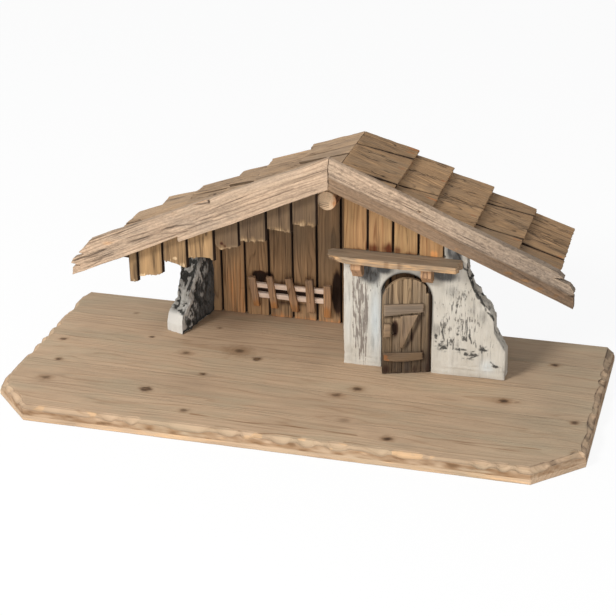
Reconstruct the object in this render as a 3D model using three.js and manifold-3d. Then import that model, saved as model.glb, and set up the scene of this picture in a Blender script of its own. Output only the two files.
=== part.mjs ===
// A rustic nativity stable: an open stall and a plastered room with an arched door, under one shingled
// roof, on a wide spruce board. Millimetres, +Z up, +Y to the back, origin under the board's centre.
import * as THREE from 'three';
import { mergeVertices } from 'three/addons/utils/BufferGeometryUtils.js';
import Module from 'manifold-3d';

const wasm = await Module();
wasm.setup();

// Fits
const SEAT = 0.3;              // gap left between pieces that rest on each other
const EPS = 1;                 // how far a cutting tool runs past the piece it cuts

// Base board
const BOARD_WIDTH = 700;
const BOARD_DEPTH = 320;
const BOARD_THICKNESS = 18;
const BOARD_CLIP = 53;         // leg of the cut front corners
const EDGE_BAND = 6.5;         // square lower part of the edge
const EDGE_SHOULDER = 15;      // height at which the carved bevel starts
const SHOULDER_INSET = 1.6;
const BEVEL_INSET = 9;         // mean width of the carved bevel
const BEVEL_WAVE = 4.5;
const BEVEL_STEP = 19;         // length of one knife cut

// Back wall of upright boards
const BACK_WALL_SETBACK = 14;  // board's back edge to the wall's front face
const BACK_BOARD_COUNT = 11;
const BACK_BOARD_PITCH = 31.6;
const BACK_BOARD_THICKNESS = 7;
const BACK_WALL_LEFT = -182.8;
const BOARD_GAP = 1.1;         // open joint between neighbouring upright boards

// Plastered front wall of the room
const ROOM_DEPTH = 106;        // wall face to back wall face
const FRONT_WALL_THICKNESS = 20;
const FRONT_WALL_LEFT = 37;
const FRONT_WALL_FOOT = 196.4; // length of its foot
const LEDGE_HEIGHT = 141.6;    // floor to the top under the shelf
const RAGGED_EDGE = [[0, 0], [0.2, 36.9], [8.3, 50.4], [14.6, 61.7], [15.1, 76], [19.3, 87.5],
  [29.4, 98.2], [39.7, 113.6], [47.8, 133.9], [48.3, 152.5]]; // inset from the foot's end, height

// Gable over the shelf
const GABLE_BOARD_COUNT = 4;
const GABLE_BOARD_PITCH = 30.3;
const GABLE_BOARD_THICKNESS = 7;

// Shelf and its brackets
const SHELF_THICKNESS = 8.5;
const SHELF_OVERHANG = 25;
const SHELF_LEFT_REACH = 13;   // past the wall's left end
const SHELF_RIGHT_REACH = 22;  // past the last gable board
const SHELF_WAVE = 0.4;        // unevenness of its front edge
const SHELF_LEFT_END = [[-5, 0.04], [3.5, 0.32], [0, 0.6], [1.5, 0.8], [-2, 0.98]];
const SHELF_RIGHT_END = [[-4, 1], [0, 0.76], [-3.5, 0.52], [1, 0.28], [-2, 0]]; // further out, share forward
const BRACKET_WIDTH = 12.5;
const BRACKET_DEPTH = 18;
const BRACKET_HEEL = 0.45;     // share of its depth that is flat underneath
const BRACKETS = {
  left_bracket: { centre: 56.5, height: 21.5, nose: 9 },
  right_bracket: { centre: 140.3, height: 20.6, nose: 11 }, // short enough for the leaf to pass under
};

// Doorway and door
const DOORWAY_CENTRE = 113.75;
const DOORWAY_WIDTH = 61.5;
const DOORWAY_SPRING = 95.5;   // floor to the start of the arch
const LEAF_WIDTH = 57.8;
const LEAF_THICKNESS = 6;
const LEAF_SPRING = 94.5;
const LEAF_FLOOR_GAP = 0.9;
const HINGE_GAP = 1.5;         // jamb to the rounded hinge edge
const PIVOT_SETBACK = 2.4;     // wall face to the pivot line
const DOOR_AJAR = 19;          // degrees from closed, as it stands
const PIVOT_RADIUS = 1.2;
const PIVOT_CLEARANCE = 0.4;
const PIVOT_DEPTH = 7;         // how far each pin is driven
const BORE_DEPTH = 9;          // how far each pin reaches into the leaf
const SHOULDER_HEIGHT = 103.5; // leaf top round the upper pin, above the floor
const SHOULDER_RADIUS = 4.8;
const PLANK_COUNT = 5;
const GROOVE_WIDTH = 1.1;
const GROOVE_DEPTH = 1;
const BATTEN_THICKNESS = 3;
const FITTING_INSET = 0.8;     // battens and latch stop short of the leaf's free edge
const FITTING_WOBBLE = 0.6;    // unevenness of their hand-cut corners
const HINGE_SIDE_CLEAR = 6.5;  // battens stop short of the pivot line
const UPPER_BATTEN = { low: 77.5, high: 92.5, rise: 4 };
const LOWER_BATTEN = { low: 17.5, high: 29, sag: 2.2 };
const LATCH = { width: 8.5, low: 51, high: 68, thickness: 4.5 };
const POCKET = { gap: 1.2, width: 6, depth: 3, slant: 2 };
const BRACE = { left: 21, width: 21, foot: 34.5, gap: 0.5 };
const BRACE_OUTLINE = [[-0.05, 0], [0.14, 0.04], [0.52, 0.51], [1, 1.03], [0, 1], [0.03, 0.48]];

// Splayed plaster wall at the left
const LEFT_WALL_THICKNESS = 25;
const LEFT_WALL_LENGTH = 82;
const LEFT_WALL_SPLAY = 12;    // degrees
const LEFT_WALL_INSET = 20.9;  // back wall's left end to the wall's inner face
const LEFT_WALL_INNER = [[0, 0], [0, 12], [4, 25], [9.5, 28.7], [19, 36], [19, 48], [23.5, 53.6],
  [32, 62.8], [39, 76], [45, 88], [52, 108], [61, 130], [70, 160]]; // from the front, height
const LEFT_WALL_OUTER = [[3.4, 0], [3.6, 10.8], [7, 22], [12, 28], [21, 31], [31, 33], [33, 50],
  [36, 60], [43, 70], [50, 84], [57, 104], [65, 126], [73, 160]];

// Roof
const RIDGE_X = 35;
const RIDGE_HEIGHT = 239.5;    // floor to the underside of the roof at the ridge
const PITCH_LEFT = 24.2;       // degrees
const PITCH_RIGHT = 22.4;
const LEFT_SLOPE = 322.5;      // ridge to the lowest shingle edge, along the slope
const RIGHT_SLOPE = 272;
const PANEL_THICKNESS = 12;
const EAVE_OVERHANG = 9;       // shingles past the panel
const REAR_OVERHANG = 6;       // roof past the back wall
const VERGE_OVERHANG = 58;     // bargeboard face before the front wall face

// Shingles
const SHINGLE_LAP = 16;
const SHINGLE_BUTT = 6;        // thickness at the lower end
const SHINGLE_HEAD = 1.4;
const RIDGE_HEAD = 3;          // head thickness of the top course
const SHINGLE_WAVE = 1.8;      // unevenness of the lower edges
const SHINGLE_KERF = 0.9;
const BUTT_VARIATION = 0.4;
const HEAD_JOIN = 11;          // width of the tie at the head that holds a course together
const TIE_INSET = 0.3;
const LEFT_COURSES = [
  { drop: 0.157, seams: [[0.5, 0.58], [0.68, 0.74]] },
  { drop: 0.218, seams: [[0.36, 0.4], [0.83, 0.8]] },
  { drop: 0.074, seams: [[0.62, 0.66]] },
  { drop: 0.136, seams: [[0.3, 0.33], [0.72, 0.76]] },
  { drop: 0.074, seams: [[0.5, 0.52]] },
  { drop: 0, seams: [[0.26, 0.28], [0.66, 0.7]] },
]; // lower edge, a share of one course further down; joints, shares of the depth at head and edge
const RIGHT_COURSES = [
  { drop: 0.132, seams: [[0.24, 0.28]] },
  { drop: 0.017, seams: [[0.36, 0.44]] },
  { drop: 0.031, seams: [[0.48, 0.57]] },
  { drop: 0.026, seams: [[0.34, 0.41], [0.75, 0.84]] },
  { drop: 0, seams: [[0.41, 0.44], [0.8, 0.81]] },
];

// Bargeboards
const BARGE_THICKNESS = 12;
const BARGE_WIDTH = 33.5;
const BARGE_RISE = 5;          // lower edge above the underside of the roof
const BARGE_PAST_EAVE = [26, 32];
const LEFT_FLARE = 5.4;        // the left board widens towards its end
const LEFT_STEP_AT = 200;      // where its lower strip has split away
const LEFT_STEP = 7;
const LEFT_STEP_RAKE = 2;
const LEFT_STEP_FADE = 69;     // from there to where the lower edge runs straight again
const LEFT_FOOT = 5.3;         // lower edge at the end
const BEVEL_HEIGHT = 9.6;      // bevel along the upper front edge, at the mitre
const BEVEL_DEPTH = 5;
const BEVEL_RUN = [190, 262];
const BEVEL_END = 0.35;        // share of it that is left where it runs out
const LEFT_FINGERS = [[0, 5.2], [-4.6, 14.2], [-15.1, 13.6], [-6.5, 19.9], [-10.7, 24.8],
  [-26.2, 24.5], [-22.2, 29.4], [-25.9, 30.9], [-42.2, 38.9]]; // from the tip, above the lower edge
const RIGHT_FINGERS = [[0, 0], [-5.4, 12.1], [-11.6, 12.2], [-6, 15.2], [-8, 19.4],
  [-15.7, 24], [-35.7, 23.8], [-23.9, 28.3], [-33.3, 32]];

// Ridge log
const LOG_RADIUS = 11.5;
const LOG_OFFSET = 7.7;        // left of the ridge
const LOG_SETBACK = 10;        // behind the bargeboards
const LOG_SIDES = 14;

// Short boards that hang behind the left bargeboard
const APRON_THICKNESS = 6;
const APRON_EDGES = [-216.4, -204, -172, -141, -107, -76, -42.5, -12, 18.5];
const APRON_ENDS = [
  [[0, 26.7], [1, 30.6]],
  [[0, 24.3], [0.24, 26.7], [0.3, 25.7], [0.5, 27.5], [0.72, 30.8], [0.8, 29.7], [1, 31]],
  [[0, 14.1], [0.28, 19.2], [0.62, 26.4], [1, 35.2]],
  [[0, 22.1], [0.42, 26], [0.86, 32.1], [1, 38.1]],
  [[0, 15.7], [0.26, 26.7], [0.6, 27.1], [1, 30.3]],
  [[0, 22.7], [0.5, 29.2], [1, 34.9]],
  [[0, 19.2], [0.46, 26.8], [1, 34.2]],
  [[0, 24.8], [0.5, 31.1], [1, 37.6]],
]; // share of the width, drop below the roof's underside

// Hay rack
const RACK_LEAN = 14;          // degrees, top forward
const RACK_FOOT = 8.5;         // floor to the rack's lowest point
const SLAT_THICKNESS = 4;
const RAIL_THICKNESS = 4;
const RAIL_HEIGHT = 7.5;
const LOWER_RAIL = 22.5;       // centre above the rack's foot
const UPPER_RAIL = 38;
const RAIL_TAPER = 0.5;        // how far the rails narrow to the right, above and below
const RACK_LEFT = -103.8;      // foot of the first slat, its centre
const SLAT_PITCH = 23.1;
const SLAT_WIDTH = 9.4;
const SLAT_LENGTH = 57.5;
const SLAT_WOBBLE = 0.8;       // unevenness of their cut ends
const SLATS = [
  { shift: 0, tilt: -0.054, low: 0.13, high: 0.93, girth: 0.9 },
  { shift: 0.02, tilt: -0.056, low: 0.113, high: 0.983, girth: 0.96 },
  { shift: 0.22, tilt: -0.103, low: 0.078, high: 0.983, girth: 1.01 },
  { shift: 0.09, tilt: 0.024, low: 0.096, high: 1, girth: 1.12 },
  { shift: 0, tilt: 0.066, low: 0, high: 0.896, girth: 1.01 },
]; // shares of the pitch, of the length and of the width

// Derived planes
const rad = THREE.MathUtils.degToRad;
const floorZ = BOARD_THICKNESS;
const backWallY = BOARD_DEPTH / 2 - BACK_WALL_SETBACK;
const frontWallY = backWallY - ROOM_DEPTH;
const roofRearY = backWallY + BACK_BOARD_THICKNESS + REAR_OVERHANG;
const bargeFrontY = frontWallY - VERGE_OVERHANG;
const bargeBackY = bargeFrontY + BARGE_THICKNESS;
const ridgeZ = floorZ + RIDGE_HEIGHT;
const ledgeZ = floorZ + LEDGE_HEIGHT;
const wallEndX = FRONT_WALL_LEFT + FRONT_WALL_FOOT;
const gableRightX = FRONT_WALL_LEFT + GABLE_BOARD_COUNT * GABLE_BOARD_PITCH;
const pivotX = DOORWAY_CENTRE + DOORWAY_WIDTH / 2 - HINGE_GAP - LEAF_THICKNESS / 2;
const pivotY = frontWallY + PIVOT_SETBACK;
const LEFT = { sign: -1, pitch: rad(PITCH_LEFT), length: LEFT_SLOPE, courses: LEFT_COURSES };
const RIGHT = { sign: 1, pitch: rad(PITCH_RIGHT), length: RIGHT_SLOPE, courses: RIGHT_COURSES };

// Colours
const finish = (color, roughness, metalness = 0) =>
  new THREE.MeshStandardMaterial({ color, roughness, metalness });
const SPRUCE = finish('#b0987c', 0.8);
const AGED = finish('#c0a284', 0.85);
const SHINGLE = finish('#98816a', 0.9);
const WEATHERED = finish('#86705c', 0.85);
const TOASTED = finish('#b98a58', 0.8);
const DOOR_WOOD = finish('#80684e', 0.85);
const PLASTER = finish('#d8d2c8', 0.95);
const GREY_PLASTER = finish('#8d8882', 0.95);
const IRON = finish('#6b6661', 0.5, 0.8);

const stable = new THREE.Group();
stable.name = 'nativity_stable';

/** Adds a finished solid to the stable, or to a turned group of it. */
function piece(name, geometry, material, parent = stable) {
  const mesh = new THREE.Mesh(geometry, material);
  mesh.name = name;
  parent.add(mesh);
  return mesh;
}

/** A repeatable offset between -1 and 1. */
function vary(seed) {
  return Math.sin(seed * 12.9898 + 4.1);
}

/** Turns a closed three.js geometry into a solid for cutting and joining. */
function solid(geometry) {
  const bare = geometry.clone();
  bare.deleteAttribute('normal');
  bare.deleteAttribute('uv');
  const merged = mergeVertices(bare, 1e-4);
  return new wasm.Manifold(new wasm.Mesh({
    numProp: 3,
    vertProperties: new Float32Array(merged.attributes.position.array),
    triVerts: new Uint32Array(merged.index.array),
  }));
}

/** Turns a solid back into a three.js geometry. */
function shell(body) {
  const mesh = body.getMesh();
  const geometry = new THREE.BufferGeometry();
  geometry.setAttribute('position', new THREE.BufferAttribute(mesh.vertProperties, 3));
  geometry.setIndex(new THREE.BufferAttribute(mesh.triVerts, 1));
  geometry.computeVertexNormals();
  return geometry;
}

function cut(geometry, ...tools) {
  return shell(tools.reduce((body, tool) => body.subtract(solid(tool)), solid(geometry)));
}

const shapeOf = (points) => new THREE.Shape(points.map(([x, y]) => new THREE.Vector2(x, y)));

/** An outline in X and Z, from its front face at y back by depth. */
function upright(outline, y, depth) {
  const shape = Array.isArray(outline) ? shapeOf(outline) : outline;
  const geometry = new THREE.ExtrudeGeometry(shape, { depth, bevelEnabled: false, curveSegments: 20 });
  return geometry.rotateX(Math.PI / 2).translate(0, y + depth, 0);
}

/** An outline in X and Y, from z up by height. */
function flat(outline, z, height) {
  const geometry = new THREE.ExtrudeGeometry(shapeOf(outline), { depth: height, bevelEnabled: false });
  return geometry.translate(0, 0, z);
}

/** A closed skin over rings of 3-D points. The plan flattens a ring as seen from beyond the last one. */
function loft(rings, plan) {
  const flatten = (ring) => ring.map((point) => new THREE.Vector2(...plan(point)));
  const backwards = THREE.ShapeUtils.isClockWise(flatten(rings[0]));
  const wound = backwards ? rings.map((ring) => [...ring].reverse()) : rings;
  const count = rings[0].length;
  const last = (rings.length - 1) * count;
  const index = [];
  for (let start = 0; start < last; start += count) {
    for (let i = 0; i < count; i += 1) {
      const a = start + i;
      const b = start + ((i + 1) % count);
      index.push(a, b, b + count, a, b + count, a + count);
    }
  }
  const cap = (ring) => THREE.ShapeUtils.triangulateShape(flatten(ring), []);
  cap(wound[0]).forEach(([a, b, c]) => index.push(a, c, b));
  cap(wound.at(-1)).forEach(([a, b, c]) => index.push(last + a, last + b, last + c));
  const geometry = new THREE.BufferGeometry();
  const positions = new Float32Array(wound.flat(2));
  geometry.setAttribute('position', new THREE.BufferAttribute(positions, 3));
  geometry.setIndex(index);
  geometry.computeVertexNormals();
  return geometry;
}

/** A vertical cylinder on (x, y) between two heights. */
function post(x, y, radius, low, high, sides = 16) {
  const geometry = new THREE.CylinderGeometry(radius, radius, high - low, sides);
  return geometry.rotateX(Math.PI / 2).translate(x, y, (low + high) / 2);
}

/** X and Z of a place on a slope: along it from the ridge, and square above its underside. */
function onSlope(side, along, above) {
  const { sign, pitch } = side;
  return [
    RIDGE_X + sign * (along * Math.cos(pitch) + above * Math.sin(pitch)),
    ridgeZ - along * Math.sin(pitch) + above * Math.cos(pitch),
  ];
}

/** Height of the roof's underside over x. */
function underRoof(x) {
  const side = x < RIDGE_X ? LEFT : RIGHT;
  return ridgeZ - Math.abs(x - RIDGE_X) * Math.tan(side.pitch);
}

/** The upper end of an upright board between x0 and x1, cut to lie under the roof. */
function rakedTop(x0, x1, lift = -SEAT) {
  const top = [[x1, underRoof(x1) + lift]];
  if (x0 < RIDGE_X && RIDGE_X < x1) top.push([RIDGE_X, ridgeZ + lift]);
  top.push([x0, underRoof(x0) + lift]);
  return top;
}

/** One ring of the base board's edge: each side moved inward by its own inset. */
function boardRing(z, insetAt) {
  const w = BOARD_WIDTH / 2;
  const d = BOARD_DEPTH / 2;
  const corners = [[-w, d], [-w, BOARD_CLIP - d], [BOARD_CLIP - w, -d],
    [w - BOARD_CLIP, -d], [w, BOARD_CLIP - d], [w, d]].map(([x, y]) => new THREE.Vector2(x, y));
  const sides = corners.map((start, i) => {
    const run = corners[(i + 1) % corners.length].clone().sub(start);
    const steps = i === corners.length - 1 ? 1 : Math.max(2, Math.round(run.length() / BEVEL_STEP));
    return { start, run, steps, inward: new THREE.Vector2(-run.y, run.x).normalize() };
  });
  const ring = [];
  sides.forEach((side, i) => {
    const before = sides[(i + sides.length - 1) % sides.length];
    const a = insetAt(i, 0);
    const b = insetAt((i + sides.length - 1) % sides.length, before.steps);
    const turn = side.inward.dot(before.inward);
    const k = 1 - turn * turn;
    const corner = side.start.clone()
      .addScaledVector(side.inward, (a - turn * b) / k)
      .addScaledVector(before.inward, (b - turn * a) / k);
    ring.push([corner.x, corner.y, z]);
    for (let s = 1; s < side.steps; s += 1) {
      const point = side.start.clone().addScaledVector(side.run, s / side.steps)
        .addScaledVector(side.inward, insetAt(i, s));
      ring.push([point.x, point.y, z]);
    }
  });
  return ring;
}

function baseBoard() {
  const rear = 5;
  const square = () => 0;
  const shoulder = (i) => (i === rear ? 0 : SHOULDER_INSET);
  const carved = (i, s) => (i === rear ? 0 : BEVEL_INSET + BEVEL_WAVE * vary(i * 7 + s * 1.7));
  const board = loft([
    boardRing(0, square), boardRing(EDGE_BAND, square),
    boardRing(EDGE_SHOULDER, shoulder), boardRing(BOARD_THICKNESS, carved),
  ], ([x, y]) => [x, y]);
  const pinHole = post(pivotX, pivotY, PIVOT_RADIUS + SEAT, floorZ - PIVOT_DEPTH - SEAT, floorZ + EPS);
  piece('base_board', cut(board, pinHole), SPRUCE);
}

function backWall() {
  for (let i = 0; i < BACK_BOARD_COUNT; i += 1) {
    const x0 = BACK_WALL_LEFT + i * BACK_BOARD_PITCH;
    const x1 = x0 + BACK_BOARD_PITCH - BOARD_GAP;
    const outline = [[x0, floorZ], [x1, floorZ], ...rakedTop(x0, x1)];
    piece(`back_board_${i + 1}`, upright(outline, backWallY, BACK_BOARD_THICKNESS), WEATHERED);
  }
}

/** The splayed wall tapers from its inner to its outer profile. */
function leftWall() {
  const splay = rad(LEFT_WALL_SPLAY);
  const innerX = BACK_WALL_LEFT + LEFT_WALL_INSET;
  const place = (from, height, side) => {
    const reach = LEFT_WALL_LENGTH - from;
    return [
      innerX - reach * Math.sin(splay) - side * Math.cos(splay),
      backWallY - reach * Math.cos(splay) + side * Math.sin(splay),
      floorZ + height,
    ];
  };
  const past = LEFT_WALL_LENGTH + LEFT_WALL_THICKNESS;
  const ring = (profile, side) => [...profile, [past, profile.at(-1)[1]], [past, 0]]
    .map(([from, height]) => place(from, height, side));
  const wall = loft([ring(LEFT_WALL_INNER, 0), ring(LEFT_WALL_OUTER, LEFT_WALL_THICKNESS)],
    ([x, y, z]) => [-y, z]);
  const wide = BOARD_WIDTH / 2;
  const high = ridgeZ + BOARD_DEPTH;
  const over = [[-wide, underRoof(-wide) - SEAT], [RIDGE_X, ridgeZ - SEAT], [RIDGE_X, high], [-wide, high]];
  const behind = [[-wide, 0], [wide, 0], [wide, high], [-wide, high]];
  piece('left_wall', cut(wall, upright(over, -BOARD_DEPTH, 2 * BOARD_DEPTH),
    upright(behind, backWallY - SEAT, BOARD_DEPTH)), GREY_PLASTER);
}

/** The plaster wall round the doorway: a ledge for the shelf, and a broken right edge. */
function frontWall() {
  const left = DOORWAY_CENTRE - DOORWAY_WIDTH / 2;
  const right = DOORWAY_CENTRE + DOORWAY_WIDTH / 2;
  const springZ = floorZ + DOORWAY_SPRING;
  const [topInset] = RAGGED_EDGE.at(-1);
  const topX = wallEndX - topInset;
  const outline = new THREE.Shape();
  outline.moveTo(FRONT_WALL_LEFT, floorZ);
  outline.lineTo(left, floorZ);
  outline.lineTo(left, springZ);
  outline.absarc(DOORWAY_CENTRE, springZ, DOORWAY_WIDTH / 2, Math.PI, 0, true);
  outline.lineTo(right, floorZ);
  RAGGED_EDGE.forEach(([inset, height]) => outline.lineTo(wallEndX - inset, floorZ + height));
  outline.lineTo(topX, underRoof(topX) - SEAT);
  outline.lineTo(gableRightX, underRoof(gableRightX) - SEAT);
  outline.lineTo(gableRightX, ledgeZ);
  outline.lineTo(FRONT_WALL_LEFT, ledgeZ);
  const pinHole = post(pivotX, pivotY, PIVOT_RADIUS + SEAT, floorZ + DOORWAY_SPRING, pinTop() + SEAT);
  piece('front_wall', cut(upright(outline, frontWallY, FRONT_WALL_THICKNESS), pinHole), PLASTER);
}

/** Where the upper pivot pin ends, above the arch. */
function pinTop() {
  const off = pivotX - DOORWAY_CENTRE;
  const rise = Math.sqrt((DOORWAY_WIDTH / 2) ** 2 - off ** 2);
  return floorZ + DOORWAY_SPRING + rise + PIVOT_DEPTH;
}

function shelf() {
  const front = frontWallY - SHELF_OVERHANG;
  const back = frontWallY - SEAT;
  const rear = frontWallY + FRONT_WALL_THICKNESS;
  const left = FRONT_WALL_LEFT - SHELF_LEFT_REACH;
  const right = gableRightX + SHELF_RIGHT_REACH;
  const tongue = gableRightX - SEAT;
  const chipped = (end, sign) => ([out, forward]) => [end + sign * out, back + forward * (front - back)];
  const along = (share) => left + share * (right - left);
  const outline = [[FRONT_WALL_LEFT, rear], [FRONT_WALL_LEFT, back],
    ...SHELF_LEFT_END.map(chipped(left, -1)),
    [along(0.35), front - SHELF_WAVE], [along(0.8), front + SHELF_WAVE],
    ...SHELF_RIGHT_END.map(chipped(right, 1)), [tongue, back], [tongue, rear]];
  piece('shelf', flat(outline, ledgeZ + SEAT, SHELF_THICKNESS), AGED);
}

/** Blocks under the shelf, sloped away from a square nose to a heel against the wall. */
function brackets() {
  const y = frontWallY - SEAT;
  const nose = y - BRACKET_DEPTH;
  const heel = y - BRACKET_DEPTH * BRACKET_HEEL;
  const sideways = new THREE.Matrix4().makeBasis(
    new THREE.Vector3(0, 1, 0), new THREE.Vector3(0, 0, 1), new THREE.Vector3(1, 0, 0));
  for (const [name, bracket] of Object.entries(BRACKETS)) {
    const section = shapeOf([[y, 0], [nose, 0], [nose, -bracket.nose], [heel, -bracket.height],
      [y, -bracket.height]]);
    const block = new THREE.ExtrudeGeometry(section, { depth: BRACKET_WIDTH, bevelEnabled: false });
    block.applyMatrix4(sideways).translate(bracket.centre - BRACKET_WIDTH / 2, 0, ledgeZ);
    piece(name, block, AGED);
  }
}

function gable() {
  const bottom = ledgeZ + 2 * SEAT + SHELF_THICKNESS;
  const log = ridgeLogGeometry(LOG_RADIUS + SEAT);
  for (let i = 0; i < GABLE_BOARD_COUNT; i += 1) {
    const x0 = FRONT_WALL_LEFT + i * GABLE_BOARD_PITCH;
    const x1 = x0 + GABLE_BOARD_PITCH - BOARD_GAP;
    const outline = [[x0, bottom], [x1, bottom], ...rakedTop(x0, x1)];
    const board = upright(outline, frontWallY, GABLE_BOARD_THICKNESS);
    piece(`gable_board_${i + 1}`, cut(board, log), TOASTED);
  }
}

/** The log lies against the left roof panel, a little off the ridge. */
function ridgeLogGeometry(radius) {
  const x = RIDGE_X - LOG_OFFSET;
  const z = underRoof(x) - (LOG_RADIUS + SEAT) / Math.cos(LEFT.pitch);
  const y0 = bargeBackY + LOG_SETBACK;
  const y1 = backWallY - SEAT;
  const log = new THREE.CylinderGeometry(radius, radius, y1 - y0, LOG_SIDES);
  return log.translate(x, (y0 + y1) / 2, z);
}

function roofPanels() {
  for (const side of [LEFT, RIGHT]) {
    const { sign, pitch } = side;
    const end = side.length - EAVE_OVERHANG;
    const mitre = RIDGE_X + sign * SEAT / 2;
    const outline = [[mitre, underRoof(mitre)], [mitre, underRoof(mitre) + PANEL_THICKNESS / Math.cos(pitch)],
      onSlope(side, end, PANEL_THICKNESS), onSlope(side, end, 0)];
    const front = bargeBackY + (sign < 0 ? APRON_THICKNESS + 2 * SEAT : SEAT);
    const name = sign < 0 ? 'left_roof_panel' : 'right_roof_panel';
    piece(name, upright(outline, front, roofRearY - SHINGLE_WAVE - front), AGED);
  }
}

/** Distance along the slope of each course's lower edge. */
function courseEdge(side, k) {
  return side.length / side.courses.length * (k + side.courses[k - 1].drop);
}

/** One course: wedge shingles with open joints, held at their heads by a thin tie inside them. */
function shingleCourse(side, k) {
  const top = k === 1;
  const head = top ? 0 : courseEdge(side, k - 1) - SHINGLE_LAP;
  const headThickness = top ? RIDGE_HEAD : SHINGLE_HEAD;
  const butt = courseEdge(side, k);
  const lift = buttLift(side, k);
  const base = PANEL_THICKNESS + SEAT;
  const y0 = bargeBackY + SEAT;
  const depth = roofRearY - y0;
  const start = (above) => (top ? mitred(side, above) : onSlope(side, head, above));
  const climb = (SHINGLE_BUTT + lift - headThickness) / (butt - head) * HEAD_JOIN;
  const tie = [onSlope(side, head + TIE_INSET, base + TIE_INSET),
    onSlope(side, head + HEAD_JOIN, base + lift / (butt - head) * HEAD_JOIN + TIE_INSET),
    onSlope(side, head + HEAD_JOIN, base + headThickness + climb - TIE_INSET),
    onSlope(side, head + TIE_INSET, base + headThickness - TIE_INSET)];
  const stops = [[0, 0], ...side.courses[k - 1].seams, [1, 1]];
  let course = solid(upright(tie, y0 + SHINGLE_KERF, depth - 2 * SHINGLE_KERF));
  for (let j = 0; j + 1 < stops.length; j += 1) {
    const seed = k * 5 + j + side.sign;
    const end = butt + SHINGLE_WAVE * vary(seed);
    const thick = SHINGLE_BUTT + BUTT_VARIATION * vary(seed * 3);
    const section = [start(base), onSlope(side, end, base + lift),
      onSlope(side, end, base + lift + thick), start(base + headThickness)];
    const face = ([atHead, atButt], gap) => section.map(([x, z], corner) => {
      const share = corner === 0 || corner === 3 ? atHead : atButt;
      return [x, y0 + share * depth + gap, z];
    });
    const front = face(stops[j], j ? SHINGLE_KERF / 2 : 0);
    const rear = face(stops[j + 1], j + 2 < stops.length ? -SHINGLE_KERF / 2 : 0);
    course = course.add(solid(loft([rear, front], ([x, y, z]) => [x, z])));
  }
  return shell(course);
}

/** A point of the top course at the ridge joint, above the underside of the roof. */
function mitred(side, above) {
  const x = RIDGE_X + side.sign * SEAT / 2;
  return [x, underRoof(x) + above / Math.cos(side.pitch)];
}

/** How far a course's lower edge is held up by the head of the course below. */
function buttLift(side, k) {
  const count = side.courses.length;
  if (k === count) return 0;
  const nextLength = courseEdge(side, k + 1) - courseEdge(side, k) + SHINGLE_LAP;
  const reach = SHINGLE_LAP + SHINGLE_WAVE;
  const rest = k + 1 === count ? 0 : SHINGLE_HEAD + 2;
  const slope = (rest + SHINGLE_BUTT + BUTT_VARIATION - SHINGLE_HEAD) / (nextLength - SHINGLE_WAVE);
  return SHINGLE_HEAD + SEAT + reach * slope;
}

function shingles() {
  for (const side of [LEFT, RIGHT]) {
    const name = side.sign < 0 ? 'left_shingles' : 'right_shingles';
    for (let k = 1; k <= side.courses.length; k += 1) {
      piece(`${name}_${k}`, shingleCourse(side, k), SHINGLE);
    }
  }
}

/** A mitred verge board whose end has splintered into fingers. */
function bargeboard(side) {
  const isLeft = side.sign < 0;
  const place = (along, above) => {
    const [x, z] = onSlope(side, along, above);
    return [x, z + BARGE_RISE / Math.cos(side.pitch)];
  };
  const mitreX = RIDGE_X + side.sign * SEAT / 2;
  const mitreZ = underRoof(mitreX) + BARGE_RISE / Math.cos(side.pitch);
  const tip = side.length + BARGE_PAST_EAVE[isLeft ? 0 : 1];
  const lower = isLeft ? [place(LEFT_STEP_AT, 0), place(LEFT_STEP_AT - LEFT_STEP_RAKE, LEFT_STEP),
    place(LEFT_STEP_AT + LEFT_STEP_FADE, LEFT_FOOT)] : [];
  const fingers = (isLeft ? LEFT_FINGERS : RIGHT_FINGERS).map(([back, above]) => place(tip + back, above));
  const outline = [[mitreX, mitreZ], ...lower, ...fingers,
    [mitreX, mitreZ + BARGE_WIDTH / Math.cos(side.pitch)]];
  const run = BEVEL_RUN[isLeft ? 0 : 1];
  const wedge = (along, share) => {
    const top = BARGE_WIDTH + (isLeft ? LEFT_FLARE * along / tip : 0);
    const low = top - BEVEL_HEIGHT * share;
    return [[low, 0], [top + EPS, BEVEL_DEPTH * share + EPS / 2], [top + EPS, -EPS], [low, -EPS]]
      .map(([above, back]) => {
        const [x, z] = place(along, above);
        return [x, bargeFrontY + back, z];
      });
  };
  const rings = [wedge(-BARGE_WIDTH, 1), wedge(run, BEVEL_END)];
  const bevel = loft(isLeft ? rings.reverse() : rings, ([x, y, z]) => [y, z]);
  const name = isLeft ? 'left_bargeboard' : 'right_bargeboard';
  const half = [[mitreX, 0], [mitreX + side.sign * BOARD_WIDTH, 0],
    [mitreX + side.sign * BOARD_WIDTH, 2 * ridgeZ], [mitreX, 2 * ridgeZ]];
  const tool = solid(bevel).intersect(solid(upright(half, bargeFrontY - BARGE_WIDTH, 2 * BARGE_WIDTH)));
  const board = solid(upright(outline, bargeFrontY, BARGE_THICKNESS)).subtract(tool);
  piece(name, shell(board), AGED);
}

function apron() {
  const top = PANEL_THICKNESS / Math.cos(LEFT.pitch) - SEAT;
  APRON_ENDS.forEach((ends, i) => {
    const x0 = APRON_EDGES[i];
    const x1 = APRON_EDGES[i + 1] - BOARD_GAP;
    const bottom = ends.map(([share, drop]) => {
      const x = x0 + share * (x1 - x0);
      return [x, underRoof(x) - drop];
    });
    const outline = [...bottom, ...rakedTop(x0, x1, top)];
    piece(`apron_board_${i + 1}`, upright(outline, bargeBackY + SEAT, APRON_THICKNESS), WEATHERED);
  });
}

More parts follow.
